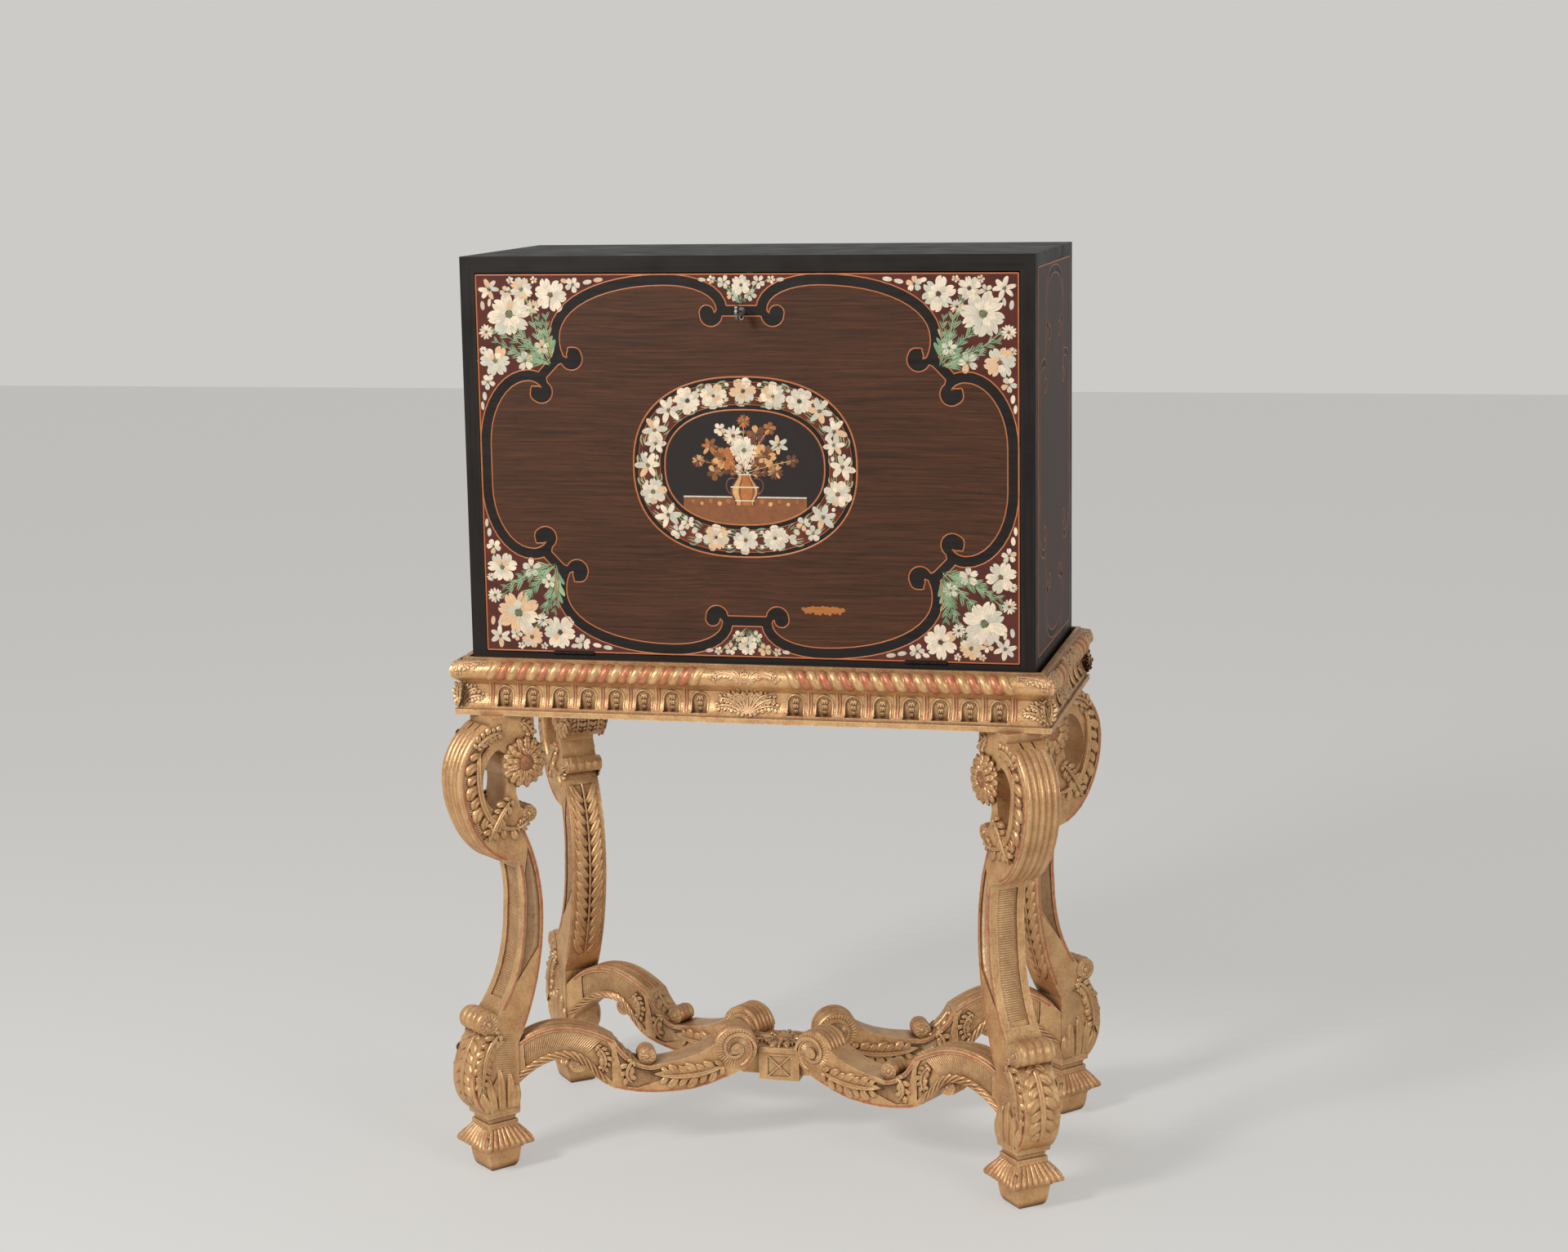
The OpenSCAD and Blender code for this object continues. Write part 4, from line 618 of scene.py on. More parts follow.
def ovalPicture(rng, petals, hearts, woods, darks):
    a, b, z0 = panel["ovalA"] - panel["ring"], panel["ovalB"] - panel["ring"], panel["midZ"]
    rim = oval(a - 1, b - 1, 120)
    darks.append(strip(onFront, rim, np.zeros_like(rim) + [0, z0], 0.05, 0.2, 120, 10))
    x = np.linspace(-vasePlan["tableW"], vasePlan["tableW"], 60)
    top = np.stack([x, z0 + vasePlan["tableZ"] + 0 * x], 1)
    low = np.stack([x, z0 - (b - 2) * (1 - np.clip(np.abs(x) / (a - 1), 0, 1) ** 2.35) ** (1 / 2.35)], 1)
    woods.append(strip(onFront, top, np.minimum(low, top - [0, 0.5]), 0.08, 0.30, 60, 6))
    petals.append(strip(onFront, top + [0, 2.4], top, 0.10, 0.2, 60, 3))
    foot, tall = z0 + vasePlan["footZ"], vasePlan["tall"]
    t = np.linspace(0, 1, 30)
    half = 8 + 17 * np.sin(np.pi * np.clip(t * 0.9 + 0.1, 0, 1)) ** 1.6 + 6 * np.exp(-(t / 0.08) ** 2) + 4 * t ** 8
    sides = [np.stack([k * half, foot + tall * t], 1) for k in (-1, 1)]
    vase = strip(onFront, *sides, 0.16, 0.1, 30, 9)
    woods.append(dict(vase, tint=np.broadcast_to(vasePlan["staves"], (30, 9))))
    for band in (0.12, 0.55, 0.95):
        w, z = np.interp(band, t, half), foot + tall * band
        petals.append(strip(onFront, [[-w, z], [w, z]], [[-w, z + 2], [w, z + 2]], 0.22, 0.5, 8, 3))
    for k in (-1, 1):
        handle = bez([k * 16, z0 - 18], [k * 36, z0 - 14], [k * 34, z0 - 42], [k * 22, z0 - 44], 20)
        woods.append(stringLine(onFront, handle, 2.4, 0.2, 0.7, 20))
        for i in range(5):
            spot = (k * (28 + 15 * i), z0 - 56 - 4 * (i % 2))
            woods.append(disc(onFront, spot, 5.5 - 0.5 * i, 0.3, 0.1 + 0.4 * (i % 2)))
    heads = [[x * 1.06, z0 + 1.05 * z] for x, z, r, kind in flowerPlan["vase"]]
    spray(onFront, [0, z0 - 10], heads, rng, woods, 13)
    for i, (x, z, r, kind) in enumerate(flowerPlan["vase"]):
        flower(onFront, [x, z0 + z], 1.35 * r, kind, rng, woods if i % 3 else petals, hearts)


rng = np.random.default_rng(11)
petals, hearts, leaves, strings, woods, reds, darks = layers = [[] for name in frontInlays]
frontBorder(rng, petals, hearts, leaves, strings)
ovalRing(rng, petals, hearts, leaves, strings, reds)
ovalPicture(rng, petals, hearts, woods, darks)
cornerGround(outlines("front_strapwork")[0])
for patches, (name, material) in zip(layers, frontInlays.items()):
    makePiece(name, patches, material, "flap")

# A strip of veneer that has come away low on the right, with the board bare under it
bareStrip = {"x0": 92, "long": 74, "z": 989, "high": 8}
x = np.linspace(bareStrip["x0"], bareStrip["x0"] + bareStrip["long"], 90)
slim = bareStrip["high"] * np.sin(np.pi * (x - bareStrip["x0"]) / bareStrip["long"]) ** 0.35
torn = 2.6 * np.sin(x * 0.55) * np.sin(x * 0.21) + 0.8 * np.sin(x * 2.3)
upper, lower = (np.stack([x, bareStrip["z"] + edge], 1) for edge in (0.7 * slim + 0.5 * torn, torn - slim))
makePiece("bareStrip", [strip(onFront, upper, lower, 0.04, 0.5, 90, 5)], bareWood, "flap")
print("front marquetry made")

# Sides: upright rosewood with an ebony strap figure and strings. Lines and curls are y and z for one half.
sidePlan = {"halfD": 184, "low": 914, "top": 1544, "strap": 13, "curl": 12,
            "curls": [(56, 1431), (104, 1349), (110, 1107), (58, 1021)]}
sideLines = [
    join(bez([0, 1533], [58, 1533], [97, 1516], [97, 1478]), bez([97, 1478], [97, 1455], [82, 1443], [64, 1437])),
    join(bez([99, 1360], [97, 1379], [104, 1387], [118, 1387]),
         bez([118, 1387], [158, 1387], [174, 1370], [174, 1328]),
         bez([174, 1328], [174, 1270], [174, 1205], [174, 1145]),
         bez([174, 1145], [174, 1100], [158, 1075], [122, 1075]),
         bez([122, 1075], [102, 1075], [97, 1088], [101, 1102])),
    join(bez([0, 925], [58, 925], [97, 943], [97, 978]), bez([97, 978], [97, 1001], [84, 1012], [66, 1016])),
    np.array([[84, 1446], [100, 1424], [106, 1392]]), np.array([[84, 1008], [100, 1030], [108, 1072]]),
]


def sideMarquetry(place):
    straps, strings = [], []
    w, curl = sidePlan["strap"], sidePlan["curl"]
    for k in (-1, 1):
        for line in sideLines:
            line = evenly(line * [k, 1], 90)
            straps.append(strip(place, shifted(line, w / 2), shifted(line, -w / 2), 0.22, 0.0, 90, 4))
            strings += [stringLine(place, shifted(line, s * w / 2), 1.6, 0.28, 0.4) for s in (-1, 1)]
        for y, z in sidePlan["curls"]:
            straps.append(disc(place, (k * y, z), curl, 0.3, 0.0, 28))
            rim = [k * y, z] + curl * circle(np.linspace(0, 2 * np.pi, 40))
            strings.append(stringLine(place, rim, 1.6, 0.30, 0.4, 40))
    box = -sidePlan["halfD"], sidePlan["halfD"], sidePlan["low"], sidePlan["top"]
    return sheet(place, *box, 0.10, 0.0, 24, 14), straps, strings + boxStrings(place, boxLine(*box), 2.2, 0.24, 0.6, 40)


for k, name in ((-1, "Left"), (1, "Right")):
    ground, straps, strings = sideMarquetry(flatFace(0, k * case["halfW"], k))
    makePiece("veneer" + name, [ground], rosewoodSide, "case")
    makePiece("straps" + name, straps, ebonyZ, "case")
    makePiece("strings" + name, strings, boxwood, "case")
print("side marquetry made")

# Inside: each drawer's front is a sheet of rosewood in an ebony band, with strings and two sprays beside its knob.
# The sprays' flowers are at a share of the half width, a height over the knob, a radius and a kind.
inside = {"frontY": -140.5, "band": 11, "knobZ": 75.6, "middleKnobZ": 74.2, "gap": 0.5,
          "flowers": [(0.52, 6, 17, "anemone"), (0.80, -14, 11, "jasmine"), (0.78, 26, 10, "daisy"),
                      (0.34, 30, 9, "jasmine"), (0.40, -26, 8, "daisy")]}
insideWoods = [ebonyX, rosewood, boxwood, pearl, heartwood, stained]
onDrawers = flatFace(1, inside["frontY"], -1)


# A mitred band of width w inside a box, the sheet within it, and strings between them
def bandBox(place, x0, x1, z0, z1, w):
    outer, within = boxLine(x0, x1, z0, z1), (x0 + w, x1 - w, z0 + w, z1 - w)
    inner = boxLine(*within)
    bands = [strip(place, outer[i:i + 2], inner[i:i + 2], 0.2, 0.0, 8, 3) for i in range(4)]
    return bands, [sheet(place, *within, 0.12)], boxStrings(place, inner, 1.6, 0.26, 0.4, 30)


def drawerMarquetry(x0, x1, z0, z1, knobZ, rng):
    petals, hearts, leaves = [], [], []
    mid, half = (x0 + x1) / 2, (x1 - x0) / 2 - inside["band"]
    for k in (-1, 1):
        spots = [[mid + k * half * share, knobZ + up] for share, up, r, kind in inside["flowers"]]
        spray(onDrawers, [mid + k * 16, knobZ - 34], spots, rng, leaves, 11)
        for spot, (share, up, r, kind) in zip(spots, inside["flowers"]):
            flower(onDrawers, spot, r, kind, rng, petals, hearts)
    return byMaterial(*bandBox(onDrawers, x0, x1, z0, z1, inside["band"]), petals, hearts, leaves)


rng = np.random.default_rng(23)
for nodeName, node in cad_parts.items():
    if nodeName.startswith("drawer_"):
        spots, gap = spotsOf(node), inside["gap"]
        (x0, _, z0), (x1, _, z1) = spots.min(0), spots.max(0)
        knobZ = z0 + inside["middleKnobZ" if "middle" in nodeName else "knobZ"]
        inlaid = drawerMarquetry(x0 + gap, x1 - gap, z0 + gap, z1 - gap, knobZ, rng)
        makePiece("front_" + nodeName, inlaid, insideWoods, nodeName)

# The arch's front: an ebony border that follows it, strings, and a spray in each spandrel
bay = {"archR": 139, "archZ": 1375, "shelfZ": 1063, "band": 10, "heads": [(140, 1516), (120, 1526)],
       "flowers": [(143, 1515, 14, "anemone"), (114, 1527, 8, "jasmine"), (156, 1484, 7, "jasmine")],
       "squareX": -160, "squareY": -128, "square": 40}
archR, springZ, lowZ = bay["archR"], bay["archZ"], bay["shelfZ"] + 1.0
halfRound = archR * circle(np.linspace(0, np.pi, 60)) + [0, springZ]
arch = evenly(np.concatenate([[[archR, lowZ]], halfRound, [[-archR, lowZ]]]), 160)
border = strip(onDrawers, shifted(arch, -1), shifted(arch, -1 - bay["band"]), 0.2, 0.0, 160, 3)
strings = [stringLine(onDrawers, shifted(arch, -d), 1.6, 0.26, 0.4, 160) for d in (1.4, 11)]
petals, hearts, leaves = [], [], []
for k in (-1, 1):
    spray(onDrawers, [k * 156, 1466], [[k * x, z] for x, z in bay["heads"]], rng, leaves, 11)
    for x, z, r, kind in bay["flowers"]:
        flower(onDrawers, [k * x, z], r, kind, rng, petals, hearts)
makePiece("archInlay", byMaterial([border], [], strings, petals, hearts, leaves), insideWoods, "case")

# The bay's floor: squares of ebony and pale walnut by turns, with a hair's gap between them
onShelf = flatFace(2, bay["shelfZ"], 1)
squares = [], []
for i in range(8):
    for j in range(8):
        x, y, w = bay["squareX"] + bay["square"] * i, bay["squareY"] + bay["square"] * j, bay["square"] - 0.6
        squares[(i + j) % 2].append(sheet(onShelf, x, x + w, y, y + w, 0.2, 0.3 * (i % 3), 3, 3))
makePiece("bayFloor", byMaterial(*squares), [ebonyX, walnutPale], "case")

# The flap's inner face: a banded border, a compass star in a ring, its rays half light and half dark, and fans of
# seven leaves in the corners
star = {"y": -190.5, "halfW": 432, "low": 922, "top": 1450, "band": 14, "rays": 32, "reach": (118, 62, 88, 62),
        "inner": 130, "outer": 142, "fanX": 412, "fanZ": 244, "leaf": 34}
onInside = flatFace(1, star["y"], 1)
centre = np.array([0, (star["low"] + star["top"]) / 2])
bands, grounds, strings = bandBox(onInside, -star["halfW"], star["halfW"], star["low"], star["top"], star["band"])
for i in range(star["rays"]):
    d = circle(2 * np.pi * i / star["rays"])
    reach = star["reach"][i % 4]
    middle = [centre + d * 6, centre + d * reach * 0.5, centre + d * reach]
    for s, group, tint in ((-1, bands, 0.35), (1, strings, 0.05)):
        side = [middle[0], centre + d * reach * 0.36 + s * leftward(d) * reach * 0.09, middle[2]]
        group.append(strip(onInside, side, middle, 0.24 + 0.02 * (i % 4 == 0), tint, 12, 3))
ring = circle(np.linspace(0, 2 * np.pi, 121))
inner, outer = ring * star["inner"] + centre, ring * star["outer"] + centre
bands.append(strip(onInside, outer, inner, 0.2, 0.0, 121, 3))
strings += [stringLine(onInside, line, 1.8, 0.27, 0.4, 120) for line in (inner, outer)]
for kx, kz in signPairs:
    root = centre + [kx * star["fanX"], kz * star["fanZ"]]
    for i in range(7):
        d = -star["leaf"] * circle(np.radians(6 + 13 * i)) * [kx, kz]
        strings.append(blade(onInside, [root, root + d, root + 2 * d], 6.5, 0.3, 0.2, 0.8))
makePiece("flapInside", byMaterial(bands, grounds, strings), insideWoods, "flap")

# The back: boards with open joints, and nails near their edges
back = {"joints": (905, 1060, 1226, 1388, 1540), "halfW": 455, "nailX": (446, 150), "nailIn": 20}
onBack = flatFace(1, case["halfD"], 1)
boards, nails = [], []
for i, (low, top) in enumerate(zip(back["joints"], back["joints"][1:])):
    edges = [[[-back["halfW"], z], [back["halfW"], z]] for z in (low + 1, top - 1)]
    boards.append(strip(onBack, *edges, 0.35, 0.25 * i, 40, 4))
    nails += [disc(onBack, (k * x, z), 4.2, 1.0, 0.5, 10) for k in (-1, 1) for x in back["nailX"]
              for z in (low + back["nailIn"], top - back["nailIn"])]
makePiece("backBoards", byMaterial(boards, nails), [deal, darkIron], "case")
print("inside and back made")

# Carving is worked out in a local frame, and a put function turns its points into the model's. Legs and feet: u
# outwards, w across, z up. Arms: s to the middle. Rails: s along, o outwards.
cornerNames = dict(zip(signPairs, ("front_left", "back_left", "front_right", "back_right")))


# A leg or an arm: turned about its own root, then mirrored to its corner
def atCorner(own, kx, ky):
    c, s = circle(np.radians(own["turn"]))

    def put(p):
        u, w, z = np.moveaxis(p, -1, 0)
        return np.stack([-kx * (-own["x"] + u * c - w * s), -ky * (-own["y"] + u * s + w * c), z], -1)
    return put


# Patches moved by a put function
def moved(patches, put):
    return [dict(p, pts=put(p["pts"]), back=put(p["back"])) for p in patches]


# A gilded piece of the stand
def carve(name, patches):
    return makePiece(name, patches, gilt, "case")


# A cheek, w from the middle: first length along u or s, second up z
def onCheek(w):
    return flatFace(1, w, np.sign(w))


# The face that a profile sweeps: s across, t along the profile, h to its left
def onProfile(path):
    path = evenly(path, 120)
    side = leftOf(path)
    at = np.linspace(0, lengthOf(path), len(path))

    def place(s, t, h):
        s, t, h = np.broadcast_arrays(s, t, h)
        p = [np.interp(t, at, path[:, k]) + h * np.interp(t, at, side[:, k]) for k in (0, 1)]
        return np.stack([p[0], s, p[1]], -1)
    return place


# Round a roll across the piece: s across, t round it from the u axis as an arc, h outwards
def onRoll(c, r):
    def place(s, t, h):
        s, t, h = np.broadcast_arrays(s, np.asarray(t) / r, h)
        return np.stack([c[0] + (r + h) * np.cos(t), s, c[1] + (r + h) * np.sin(t)], -1)
    return place


# A face raised by up
def lifted(place, up):
    return lambda a, b, h: place(a, b, h + up)


# Reeds that run from one line to another: height high * abs(sin(pi count u))^power, dying at both ends, every second
# one red by its share. Scallop pushes each one's end on.
def reeds(place, first, second, count, high, power=0.6, scallop=0.0, nv=8, red=0.0, per=6, ends=6.0, low=-0.6):
    u = np.linspace(0, 1, count * per + 1)
    v = np.linspace(0, 1, nv)[None, :]
    wave = np.abs(np.sin(np.pi * count * u))[:, None]
    reach = (v * (1 + scallop * wave * v))[..., None]
    pts = evenly(first, len(u))[:, None] * (1 - reach) + evenly(second, len(u))[:, None] * reach
    high = low + (high - low) * wave ** power * (1 - np.abs(2 * v - 1) ** ends) ** 0.5
    return laid(place, pts, high, red * (np.floor(count * u - 1e-6) % 2)[:, None] + 0 * v)


# Reeds that run along a profile or round a roll from t0 to t1, between -w and w across it
def reedsAlong(place, w, t0, t1, count, high, power=0.55, nv=30, red=0.0, ends=6.0):
    return reeds(place, [[-w, t0], [w, t0]], [[-w, t1], [w, t1]], count, high, power, 0, nv, red, ends=ends)


# Hatching: fine low reeds, one to 4 mm, across a sunk field from one edge to the other
def hatch(place, first, second, high=1.7):
    count = int(0.5 * (lengthOf(first) + lengthOf(second)) / 4.0)
    return reeds(place, first, second, count, high, 0.7, nv=6, per=4, ends=12, low=-0.2)


# A rounded ridge along a path: height high * sqrt(1 - v^2), its width less by taper at the end
def ridge(place, path, w, high, count=None, tint=0.0, taper=0.0):
    path = evenly(path, count or max(5, int(lengthOf(path) / 4)))
    v = np.array([-1, -0.75, -0.3, 0.3, 0.75, 1])
    t = np.linspace(0, 1, len(path))[:, None]
    thin = 1 - taper * t
    pts = path[:, None] + (0.5 * w * v * thin)[..., None] * leftOf(path)[:, None]
    h = -0.4 + (high + 0.4) * np.sqrt(1 - v * v)[None, :] * thin * (1 - np.abs(2 * t - 1) ** 60)
    return laid(place, pts, h, tint)


# A carved lobe about a rib: half width w * sin(pi t)^0.5, height high * crown * (1 - v^6), with grooves cos(3 pi v)
# and a crease down the middle, rolled under at both ends
def lobe(place, rib, w, high, base=0.0, tint=0.0, low=-0.6, nu=9, nv=9):
    rib = evenly(rib, nu)
    t = np.linspace(0, 1, nu)[:, None]
    v = np.linspace(-1, 1, nv)[None, :]
    half = w * np.sin(np.pi * (0.12 + 0.86 * t)) ** 0.5
    pts = rib[:, None] + (half * v)[..., None] * leftOf(rib)[:, None]
    crown = (0.6 + 0.4 * np.sin(np.pi * (0.1 + 0.75 * t))) * (1 + 0.14 * np.cos(3 * np.pi * v))
    crown = crown - 0.34 * np.exp(-(v / 0.16) ** 2)
    h = low + (base - low + high * crown) * (1 - np.abs(v) ** 6) * (1 - t ** 12) * (1 - (1 - t) ** 16)
    return laid(place, pts, h, tint)


# Acanthus leaf: a rib, and lobes that leave it in turn and bend to its tip, each w * sin(pi t)^0.6 long
def acanthus(place, rib, w, high, tint=0.0, sides=(-1, 1)):
    rib = np.asarray(rib, float)
    lobes = max(2, int(lengthOf(rib) / (0.85 * w)))
    line = evenly(rib, lobes * 4 + 3)
    side = leftOf(line)
    patches = [lobe(place, line, 0.28 * w, high, 0.3 * high, tint, nu=lobes * 3 + 5)]
    for i in range(lobes):
        p, left = line[4 * i + 1], side[4 * i + 1]
        ahead = -leftward(left)
        reach = w * np.sin(np.pi * (0.22 + 0.62 * i / lobes)) ** 0.6 * (1.1 if i % 2 else 0.9)
        for s in sides:
            n = s * left
            path = bez(p, p + reach * 0.5 * n, p + reach * (0.85 * n + 0.2 * ahead),
                       p + reach * (0.92 * n + 0.8 * ahead), 8)
            patches.append(lobe(place, path, 0.42 * reach, high * 0.85, 0.12 * high * (i % 2), tint))
    return patches


# Bellflower husk: three threes of small lobes one over another down a line, each narrower than the last
def husk(place, x, top, low, w, high):
    step = (top - low) / 3
    patches = []
    for i in range(3):
        z, size = top - step * i, w * (1 - 0.22 * i)
        for k in (-1, 0, 1):
            rib = bez([x, z], [x + k * size * 0.5, z - step * 0.2], [x + k * size * 0.55, z - step * 0.6],
                      [x + k * size * 0.32, z - step * 1.15], 8)
            patches.append(lobe(place, rib, size * 0.24, high * (1.2 if k == 0 else 1.0), nu=7, nv=7))
    return patches


# Plumes that fan from a root to their tips, each bowed to its own side
def fan(place, root, tips, w, high):
    patches = []
    root = np.asarray(root, float)
    for tip in np.asarray(tips, float):
        gap = tip - root
        bow = leftward(gap) * 0.5 * np.sign(gap[0] if abs(gap[0]) > 1 else 0)
        rib = bez(root, root + gap * 0.3 + bow * 0.35, root + gap * 0.75 + bow * 0.55, tip, 20)
        patches += acanthus(place, rib, w, high)
    return patches


# Volute face: a rib winding in from r to inner, its radius falling by t^0.8, over rays, with a boss at the eye
def voluteFace(place, c, r, inner, turns, start, high, flutes):
    c = np.asarray(c, float)
    ring = circle(np.linspace(0, 2 * np.pi, 8 * flutes + 1))
    t = np.linspace(0, 1, int(48 * turns))
    wide = 0.20 * r
    outer = r - 0.5 * wide
    wind = c + (outer - (outer - inner) * t ** 0.8)[:, None] * circle(np.radians(start) + 2 * np.pi * turns * t)
    return [reeds(place, c + ring * (r - 0.3), c + ring * inner * 0.6, flutes, 0.4 * high, 0.7, per=4, low=-0.4),
            ridge(place, wind, wide, high, len(t), 0.25, 0.4), boss(place, c, inner * 1.1, high * 1.3)]


# Rails: gadroons that slant away from the middle, niches with husks between paired reeds, leaves at the middle and
# at the corners. Leaves are a lean and a tip along the lip, and tips in the cove.
rail = {"lipX": 488, "lipY": 214, "over": 20, "tilt": 17, "lobe": 17, "high": 4.0, "reedW": 10, "pitch": 48.5,
        "midLeaf": 60, "midGap": 64, "endGap": 72, "midLip": [(0, 14), (8, 30), (12, 46), (22, 58)],
        "endLip": [(2, 60), (12, 44), (18, 26), (26, 10)],
        "midCove": [(9, 852), (24, 851), (40, 846), (53, 836), (56, 821)],
        "endCove": [(8, 852), (24, 850), (40, 842), (52, 826)]}
roundTop = [9, 873] + 17 * circle(np.radians(np.linspace(80, -50, 20)))
cove = join(np.array([[17.5, 858.3], [6, 849]]), bez([6, 849], [3, 831], [8, 819], [16, 811.5], 12))
onRoundTop = onProfile(roundTop)
onNiche = flatFace(1, 3.0, 1)


def atRail(side):
    k = 1 if side in ("back", "right") else -1

    def put(p):
        s, o, z = np.moveaxis(p, -1, 0)
        if side in ("front", "back"):
            return np.stack([s, k * (rail["lipY"] + o), z], -1)
        return np.stack([k * (rail["lipX"] + o), s, z], -1)
    return put


# The faces that turn: along the lip the profile gives the way out and up, in the cove h rises outwards from its curve
def onLip(s, t, h):
    return onRoundTop(s, t, h)[..., [1, 0, 2]]


def onCove(s, z, h):
    s, z, h = np.broadcast_arrays(s, z, h)
    return np.stack([s, np.interp(z, cove[::-1, 1], cove[::-1, 0]) + h, z], -1)


def railCarving(halfL, niches):
    patches = []
    end, span = halfL + rail["over"], lengthOf(roundTop)
    lobes = int((end - rail["endGap"] - rail["midGap"]) / rail["lobe"])
    for k in (-1, 1):
        line = np.array([[k * rail["midGap"], 0], [k * (end - rail["endGap"]), 0]])
        patches.append(reeds(onLip, line, line + [k * rail["tilt"], span], lobes, rail["high"], scallop=0.05, nv=12,
                             red=1.0, per=8))
        for lean, tip in rail["midLip"]:
            rib = bez([k * 3, span * 0.8], [k * tip * 0.4, span * 0.1], [k * tip * 0.9, 4 + lean * 0.3],
                      [k * tip, span * 0.2 + lean], 14)
            patches += acanthus(onLip, rib, 7.5, 2.0, 0.2)
        for lean, tip in rail["endLip"]:
            rib = bez([k * (end - 4), span * 0.5], [k * (end - tip * 0.4), 3], [k * (end - tip * 0.8), 2],
                      [k * (end - tip), 6 + lean], 14)
            patches += acanthus(onLip, rib, 7.0, 2.2, 0.2)
        patches += fan(onCove, (k * 3, 813), [(k * x, z) for x, z in rail["midCove"]], 8, 3.2)
        patches += fan(onCove, (k * (end - 6), 813), [(k * (end - x), z) for x, z in rail["endCove"]], 8, 3.0)
        for i in range(niches):
            x = k * (rail["midLeaf"] + rail["pitch"] * (i + 0.45))
            patches += husk(onNiche, x, 841, 814, 9, 3.2)
            head = [x, 832] + circle(np.linspace(0, np.pi, 20)) * [-14.5, 15]
            arch = np.concatenate([[[x - 14.5, 815]], head, [[x + 14.5, 815]]])
            patches.append(ridge(onCove, arch, 4.0, 1.8, 36))
            tongue = [x, 836] + circle(np.linspace(0, np.pi, 9)) * [-8, 8]
            patches.append(ridge(onNiche, tongue, 3.0, 1.6, 12))
            c, w = x + k * rail["pitch"] / 2, rail["reedW"]
            patches.append(reeds(onCove, [[c - w / 2, 855], [c + w / 2, 855]], [[c - w / 2, 813], [c + w / 2, 813]],
                                 2, 2.4, 0.5, nv=10, red=0.8))
    return patches


for side in ("front", "back", "left", "right"):
    carving = railCarving(rail["lipX"], 8) if side in ("front", "back") else railCarving(rail["lipY"], 3)
    carve("railCarving_" + side, moved(carving, atRail(side)))
print("rails carved")

# Legs: the outline's curves, and rolls as a centre and a radius. Cheek leaves are a rib, a half width and a height.
# Bulge lobes stand side by side: x at the foot and at the tip, and the tip's z.
scrollLine = join(bez([8, 784.5], [34, 768.5], [62, 735.5], [62, 690.5]),
                  bez([62, 690.5], [62, 625.5], [22, 548.5], [-38, 541.5]))
shaftLine = join(bez([-43, 541.5], [-54, 501.5], [-52, 468.5], [-50, 448.5]),
                 bez([-50, 448.5], [-48, 358.5], [-20, 310], [8, 278]))
backLine = join(bez([-32, 222], [-58, 262], [-91, 349.5], [-91, 448.5]),
                bez([-91, 448.5], [-91, 519.5], [-72, 572.5], [-50, 612.5]))
bulgeLine = join(bez([26, 252], [48, 228], [61, 195], [61, 165]), bez([61, 165], [61, 138], [50, 118], [32, 104]))
legRolls = {"drum": [(-61, 714.5), 40], "knee": [(24, 266), 20], "cusp": [(-70, 622.5), 14]}
legLeaves = [(bez([30, 748], [22, 764], [4, 772], [-24, 772], 20), 12, 4.5),
             (bez([-58, 784], [-70, 780], [-78, 768], [-78, 754], 20), 10, 4),
             (bez([2, 246], [30, 236], [44, 200], [42, 148], 30), 15, 5.5),
             (bez([-34, 654], [-22, 644], [-4, 624], [14, 588], 30), 15, 7),
             (bez([-42, 602], [-50, 602], [-58, 606], [-66, 616], 20), 10, 5)]
scrollLeaf = join(bez([24, 742], [36, 700], [26, 640], [4, 620]), bez([4, 620], [-18, 602], [-40, 598], [-58, 605]))
bulgeLobes = [(30, 44, 150), (-22, -24, 152), (20, 30, 172), (-12, -12, 174), (5, 8, 184)]


def legCheek(k):
    cheek, sunk = onCheek(k * leg["half"]), onCheek(k * (leg["half"] - leg["deep"]))
    inner, outer = shifted(scrollLine, -29), shifted(scrollLine, -8)
    patches = [hatch(sunk, part(outer, 0.13, 0.77), part(inner, 0.13, 0.77)),
               hatch(sunk, part(shifted(shaftLine, -8), 0.13, 0.77), part(shifted(backLine[::-1], 8), 0.19, 0.60)),
               hatch(cheek, [[14, 246], [14, 120]], [[-27, 240], [-27, 112]], 1.3)]
    # borders, picked out in red: a line, its inset, and where it starts and ends
    for line, inset, start, end in ((scrollLine, -4, 0.04, 0.97), (scrollLine, -31, 0.14, 0.76),
                                    (shaftLine, -4, 0.04, 0.96), (backLine, -4, 0.10, 0.97),
                                    (bulgeLine, -4, 0.06, 0.94)):
        patches.append(ridge(cheek, part(shifted(line, inset), start, end), 4.6, 0.7, tint=1.0))
    patches += acanthus(cheek, scrollLeaf, 22, 5.5, 0.1, (1,))  # round the piercing, its lobes outwards
    for rib, w, high in legLeaves:
        patches += acanthus(cheek, rib, w, high)
    for x0, x1, z1 in bulgeLobes:
        rib = bez([x0, 107], [x0, 130], [x1 - 2, z1 - 26], [x1, z1])
        patches.append(lobe(cheek, rib, 9.5, 4.5, 1.2 if abs(x1) < 25 else 0, nu=16))
    (knee, kneeR), (cusp, cuspR) = legRolls["knee"], legRolls["cusp"]
    patches += voluteFace(lifted(cheek, 1), knee, kneeR - 1, 5, 1.3, 200, 2.4, 14)
    return patches + voluteFace(cheek, cusp, cuspR - 0.5, 4, 1.2, 30, 2.2, 10)


